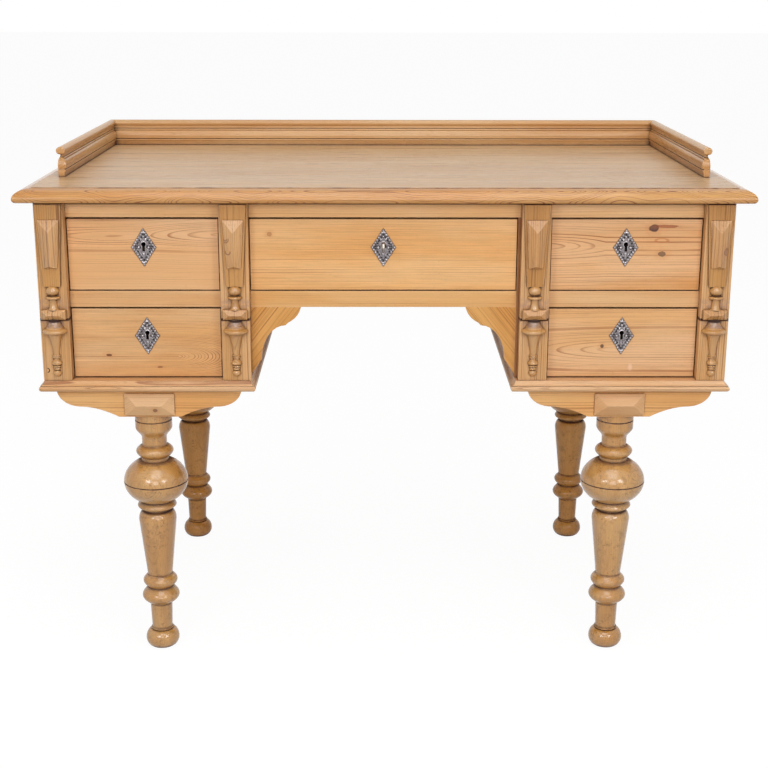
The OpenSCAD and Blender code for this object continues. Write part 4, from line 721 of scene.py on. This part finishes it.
def along_edges(shares, inset):
    """Points on all four sides of the lozenge, at shares of a side, moved in by inset."""
    side = math.hypot(*plate_half)
    spots = [(sx * (plate_half[0] * u - inset * plate_half[1] / side),
              sz * (plate_half[1] * (1 - u) - inset * plate_half[0] / side))
             for sx in (-1, 1) for sz in (-1, 1) for u in shares]
    return np.array(spots)


def distance_to(spots, x, z):
    """How far each point is from the nearest of the spots."""
    return np.sqrt((x[..., None] - spots[:, 0]) ** 2 + (z[..., None] - spots[:, 1]) ** 2).min(-1)


def dome(away, radius, height):
    """Half an egg of the given radius and height, zero outside it."""
    return height * np.sqrt(np.clip(1 - (away / radius) ** 2, 0, 1))


def relief(x, z):
    """Height of the casting over its back: a plate, plus border beads, an inner border line, a
    raised panel, two bosses in round dishes, a rim that follows the keyhole, a fan of flutes at
    the foot and leaves at the head, less the pierced holes."""
    share = np.abs(x) / plate_half[0] + np.abs(z) / plate_half[1]
    height = np.full_like(x, plate_t * 0.7)
    height += dome(distance_to(along_edges(np.arange(bead_steps + 1) / bead_steps, 0.0), x, z),
                   bead_r, 0.0009)
    height += 0.0006 * np.exp(-((share - 0.66) / 0.035) ** 2)
    height += 0.0004 * np.clip((0.62 - share) / 0.05, 0, 1)
    for side in (-1, 1):
        away = np.hypot(x - side * 0.0078, z)
        height -= 0.0005 * np.exp(-((away - 0.0028) / 0.0009) ** 2)
        height += dome(away, 0.0020, 0.0008)
        height += dome(np.hypot(x - side * 0.0042, (z - 0.0128) / 1.5), 0.0022, 0.0008)
        height += dome(np.hypot(x - side * 0.0050, (z + 0.0120) / 1.4), 0.0020, 0.0007)
    height += dome(np.hypot(x, z - 0.0175), 0.0020, 0.0010)
    turn = np.arctan2(x, z + 0.0245)
    fan = np.clip((-0.0085 - z) / 0.002, 0, 1) * np.clip((0.60 - share) / 0.05, 0, 1)
    height += fan * 0.0005 * np.cos(turn * 12)
    height += dome(np.hypot(x, np.abs(z) - 0.0240), 0.0018, 0.0010)
    rim = np.minimum(np.abs(np.hypot(x, z - keyhole_up) - key_r - 0.0008),
                     np.where((z < keyhole_up - key_r + 0.001) & (z > slot_low - 0.001),
                              np.abs(np.abs(x) - slot_half - 0.0008), 1.0))
    height += 0.0010 * np.exp(-(rim / 0.0007) ** 2)
    holes = distance_to(along_edges(np.linspace(0.18, 0.86, 5), hole_in), x, z)
    pierced = np.clip((hole_r - holes) / 0.0004 + 0.5, 0, 1)
    return np.clip(height, lowest, highest) * (1 - pierced) + 0.0001 * pierced, pierced


def cast_plate(name, centre, face):
    """The relief on a grid of rays and rings between the keyhole and the beaded outline. A ray's
    two ends are where it leaves the keyhole and where it leaves the lozenge and its beads, found
    by steps along it. Two more rings close the grid across the back."""
    rays, rings, steps = 264, 34, 900
    angle = np.linspace(0, 2 * math.pi, rays, endpoint=False)
    reach = np.linspace(0, 0.036, steps)
    eye_z = keyhole_up - key_r + 0.0008
    x = np.cos(angle)[:, None] * reach
    z = np.sin(angle)[:, None] * reach + eye_z
    in_key = (np.hypot(x, z - keyhole_up) < key_r) | (
        (np.abs(x) < slot_half) & (z < keyhole_up) & (z > slot_low))
    in_plate = (np.abs(x) / plate_half[0] + np.abs(z) / plate_half[1] < 1) | (
        distance_to(along_edges(np.arange(bead_steps + 1) / bead_steps, 0.0), x, z) < bead_r)
    start = reach[np.argmin(in_key, axis=1)]
    end = reach[steps - 1 - np.argmax(in_plate[:, ::-1], axis=1)]
    part = np.linspace(0, 1, rings)
    out = start[:, None] + (end - start)[:, None] * part
    x = np.cos(angle)[:, None] * out
    z = np.sin(angle)[:, None] * out + eye_z
    height, pierced = relief(x, z)
    height[:, 0] *= 0.8
    height[:, -1] = np.minimum(height[:, -1], plate_t * 0.6)
    grid = np.stack([x + centre[0], face - height, z + centre[1]], -1)
    back = grid[:, [-1, 0]].copy()
    back[..., 1] = face
    grid = np.concatenate([grid, back], axis=1)
    dark = np.concatenate([pierced, np.zeros((rays, 2))], axis=1)
    across = rings + 2
    ray, ring = np.meshgrid(np.arange(rays), np.arange(across), indexing="ij")
    after, beside = (ray + 1) % rays, (ring + 1) % across
    faces = np.stack([ray * across + ring, ray * across + beside, after * across + beside,
                      after * across + ring], -1).reshape(-1, 4)
    mesh = bpy.data.meshes.new(name)
    mesh.from_pydata(grid.reshape(-1, 3).tolist(), [], faces.tolist())
    mesh.attributes.new("pierced", "FLOAT", "POINT").data.foreach_set("value", dark.ravel())
    rise = (face - grid[..., 1]).ravel() / highest
    mesh.attributes.new("rise", "FLOAT", "POINT").data.foreach_set("value", rise)
    mesh.polygons.foreach_set("use_smooth", [True] * len(mesh.polygons))
    piece = bpy.data.objects.new(name, mesh)
    bpy.context.scene.collection.objects.link(piece)
    return piece


def cast_pewter():
    """Pewter rubbed bright on the high places and nearly black in the dips; the pierced holes,
    which are only dips in the mesh, are painted near black as the shade seen through them.
    """
    material, w, surface = blank_material("cast_pewter")
    place = w.node("TexCoord").outputs["Object"]
    rise = w.node("Attribute", attribute_name="rise").outputs["Fac"]
    pierced = w.node("Attribute", attribute_name="pierced").outputs["Fac"]
    patches = w.noise(place, 4.0, 0.65, 380.0)
    level = w.math("MULTIPLY_ADD", w.math("SUBTRACT", patches, 0.5), 1.0, rise)
    low = w.mix(w.span(level, 0.17, 0.48), shade(38, 31, 32), shade(124, 118, 120))
    colour = w.mix(w.span(level, 0.54, 1.0), low, shade(198, 192, 194))
    # Painted shade: the pierced holes are near black.
    colour = w.mix(pierced, colour, shade(30, 18, 14))
    metal = w.node("BsdfPrincipled", {
        "Base Color": colour, "Metallic": w.span(pierced, 0.0, 0.6, 0.9, 0.0),
        "Roughness": w.span(level, 0.2, 0.9, 0.5, 0.26, smooth=False)})
    w.tree.links.new(metal.outputs[0], surface)
    return material


pewter = cast_pewter()
for name in fronts:
    low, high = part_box(name + "_escutcheon")
    plate = cast_plate(name + "_plate", ((low.x + high.x) / 2, (low.z + high.z) / 2), face_y)
    plate.data.materials.append(pewter)
    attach(plate, name + "_drawer")
    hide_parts(name + "_escutcheon")


# Key: forged iron, with a ring bow polished by handling.
dress(old_iron, "centre_key")


# Room: a pale floor and a white surround, five soft lamps, and the camera where the
# photograph was taken.
def pale_ground():
    """White floor. The camera sees mostly plain white, with the object's soft shadow in it."""
    material, w, surface = blank_material("pale_floor")
    matt = w.node("BsdfDiffuse", {"Color": (0.6, 0.6, 0.6, 1)})
    glow = w.node("Emission", {"Color": (1, 1, 1, 1), "Strength": 1.1})
    seen = w.math("MAXIMUM", w.node("LightPath").outputs["Is Camera Ray"],
                  w.node("LightPath").outputs["Is Glossy Ray"])
    both = w.node("MixShader", {0: w.math("MULTIPLY", seen, 0.86), 1: matt.outputs[0],
                                2: glow.outputs[0]})
    w.tree.links.new(both.outputs[0], surface)
    return material


floor_half = 30.0
floor_mesh = bpy.data.meshes.new("floor")
floor_mesh.from_pydata([(-floor_half, -floor_half, 0), (floor_half, -floor_half, 0),
                        (floor_half, floor_half, 0), (-floor_half, floor_half, 0)], [],
                       [(0, 1, 2, 3)])
floor = bpy.data.objects.new("floor", floor_mesh)
floor.data.materials.append(pale_ground())
bpy.context.scene.collection.objects.link(floor)

world = bpy.data.worlds.new("white_surround")
bpy.context.scene.world = world
world.use_nodes = True
world.node_tree.nodes.clear()
sky = Wiring(world.node_tree)
paths = sky.node("LightPath").outputs
direct = sky.math("MAXIMUM", paths["Is Camera Ray"],
                  sky.math("MAXIMUM", paths["Is Glossy Ray"], paths["Is Transmission Ray"]))
surround = sky.node("Background", {
    "Color": (1, 1, 1, 1), "Strength": sky.span(direct, 0.0, 1.0, 0.27, 1.0, smooth=False)})
world.node_tree.links.new(surround.outputs[0], sky.node("OutputWorld").inputs["Surface"])


def soft_lamp(name, place, aim, size, power):
    """A square lamp at place, turned to aim."""
    data = bpy.data.lights.new(name, "AREA")
    data.shape = "SQUARE"
    data.size = size
    data.energy = power
    lamp = bpy.data.objects.new(name, data)
    lamp.location = place
    lamp.rotation_euler = (Vector(aim) - Vector(place)).to_track_quat("-Z", "Y").to_euler()
    bpy.context.scene.collection.objects.link(lamp)


soft_lamp("front_lamp", (0.0, -3.6, 1.45), (0, -0.2, 0.6), 1.2, 18)
soft_lamp("left_lamp", (-1.05, -2.05, 1.3), (0, -0.2, 0.5), 0.55, 9)
soft_lamp("right_lamp", (1.05, -2.05, 1.3), (0, -0.2, 0.5), 0.55, 9)
soft_lamp("high_lamp", (0.0, -2.1, 2.95), (0, -0.2, 0.6), 1.7, 26)
soft_lamp("top_lamp", (0.0, -0.3, 3.6), (0, -0.1, 0.7), 1.8, 26)

camera_place = Vector((-0.016787, -2.475905, 1.093297))
pitch, yaw, roll = 0.275803593, 0.00710405, -0.00186316
focal_px, photo_px, sensor = 1423.094, 768, 36.0
ahead = Vector((math.sin(yaw) * math.cos(pitch), math.cos(yaw) * math.cos(pitch),
                -math.sin(pitch)))
right = Vector((math.cos(yaw), -math.sin(yaw), 0.0))
up = right.cross(ahead)
across = math.cos(roll) * right - math.sin(roll) * up
upright = math.sin(roll) * right + math.cos(roll) * up
view = bpy.data.cameras.new("camera")
view.sensor_width = sensor
view.lens = focal_px / photo_px * sensor
view.clip_end = 100.0
camera = bpy.data.objects.new("camera", view)
camera.matrix_world = Matrix((
    (across.x, upright.x, -ahead.x, camera_place.x),
    (across.y, upright.y, -ahead.y, camera_place.y),
    (across.z, upright.z, -ahead.z, camera_place.z),
    (0, 0, 0, 1)))
bpy.context.scene.collection.objects.link(camera)
bpy.context.scene.camera = camera
bpy.context.scene.view_settings.view_transform = "Standard"
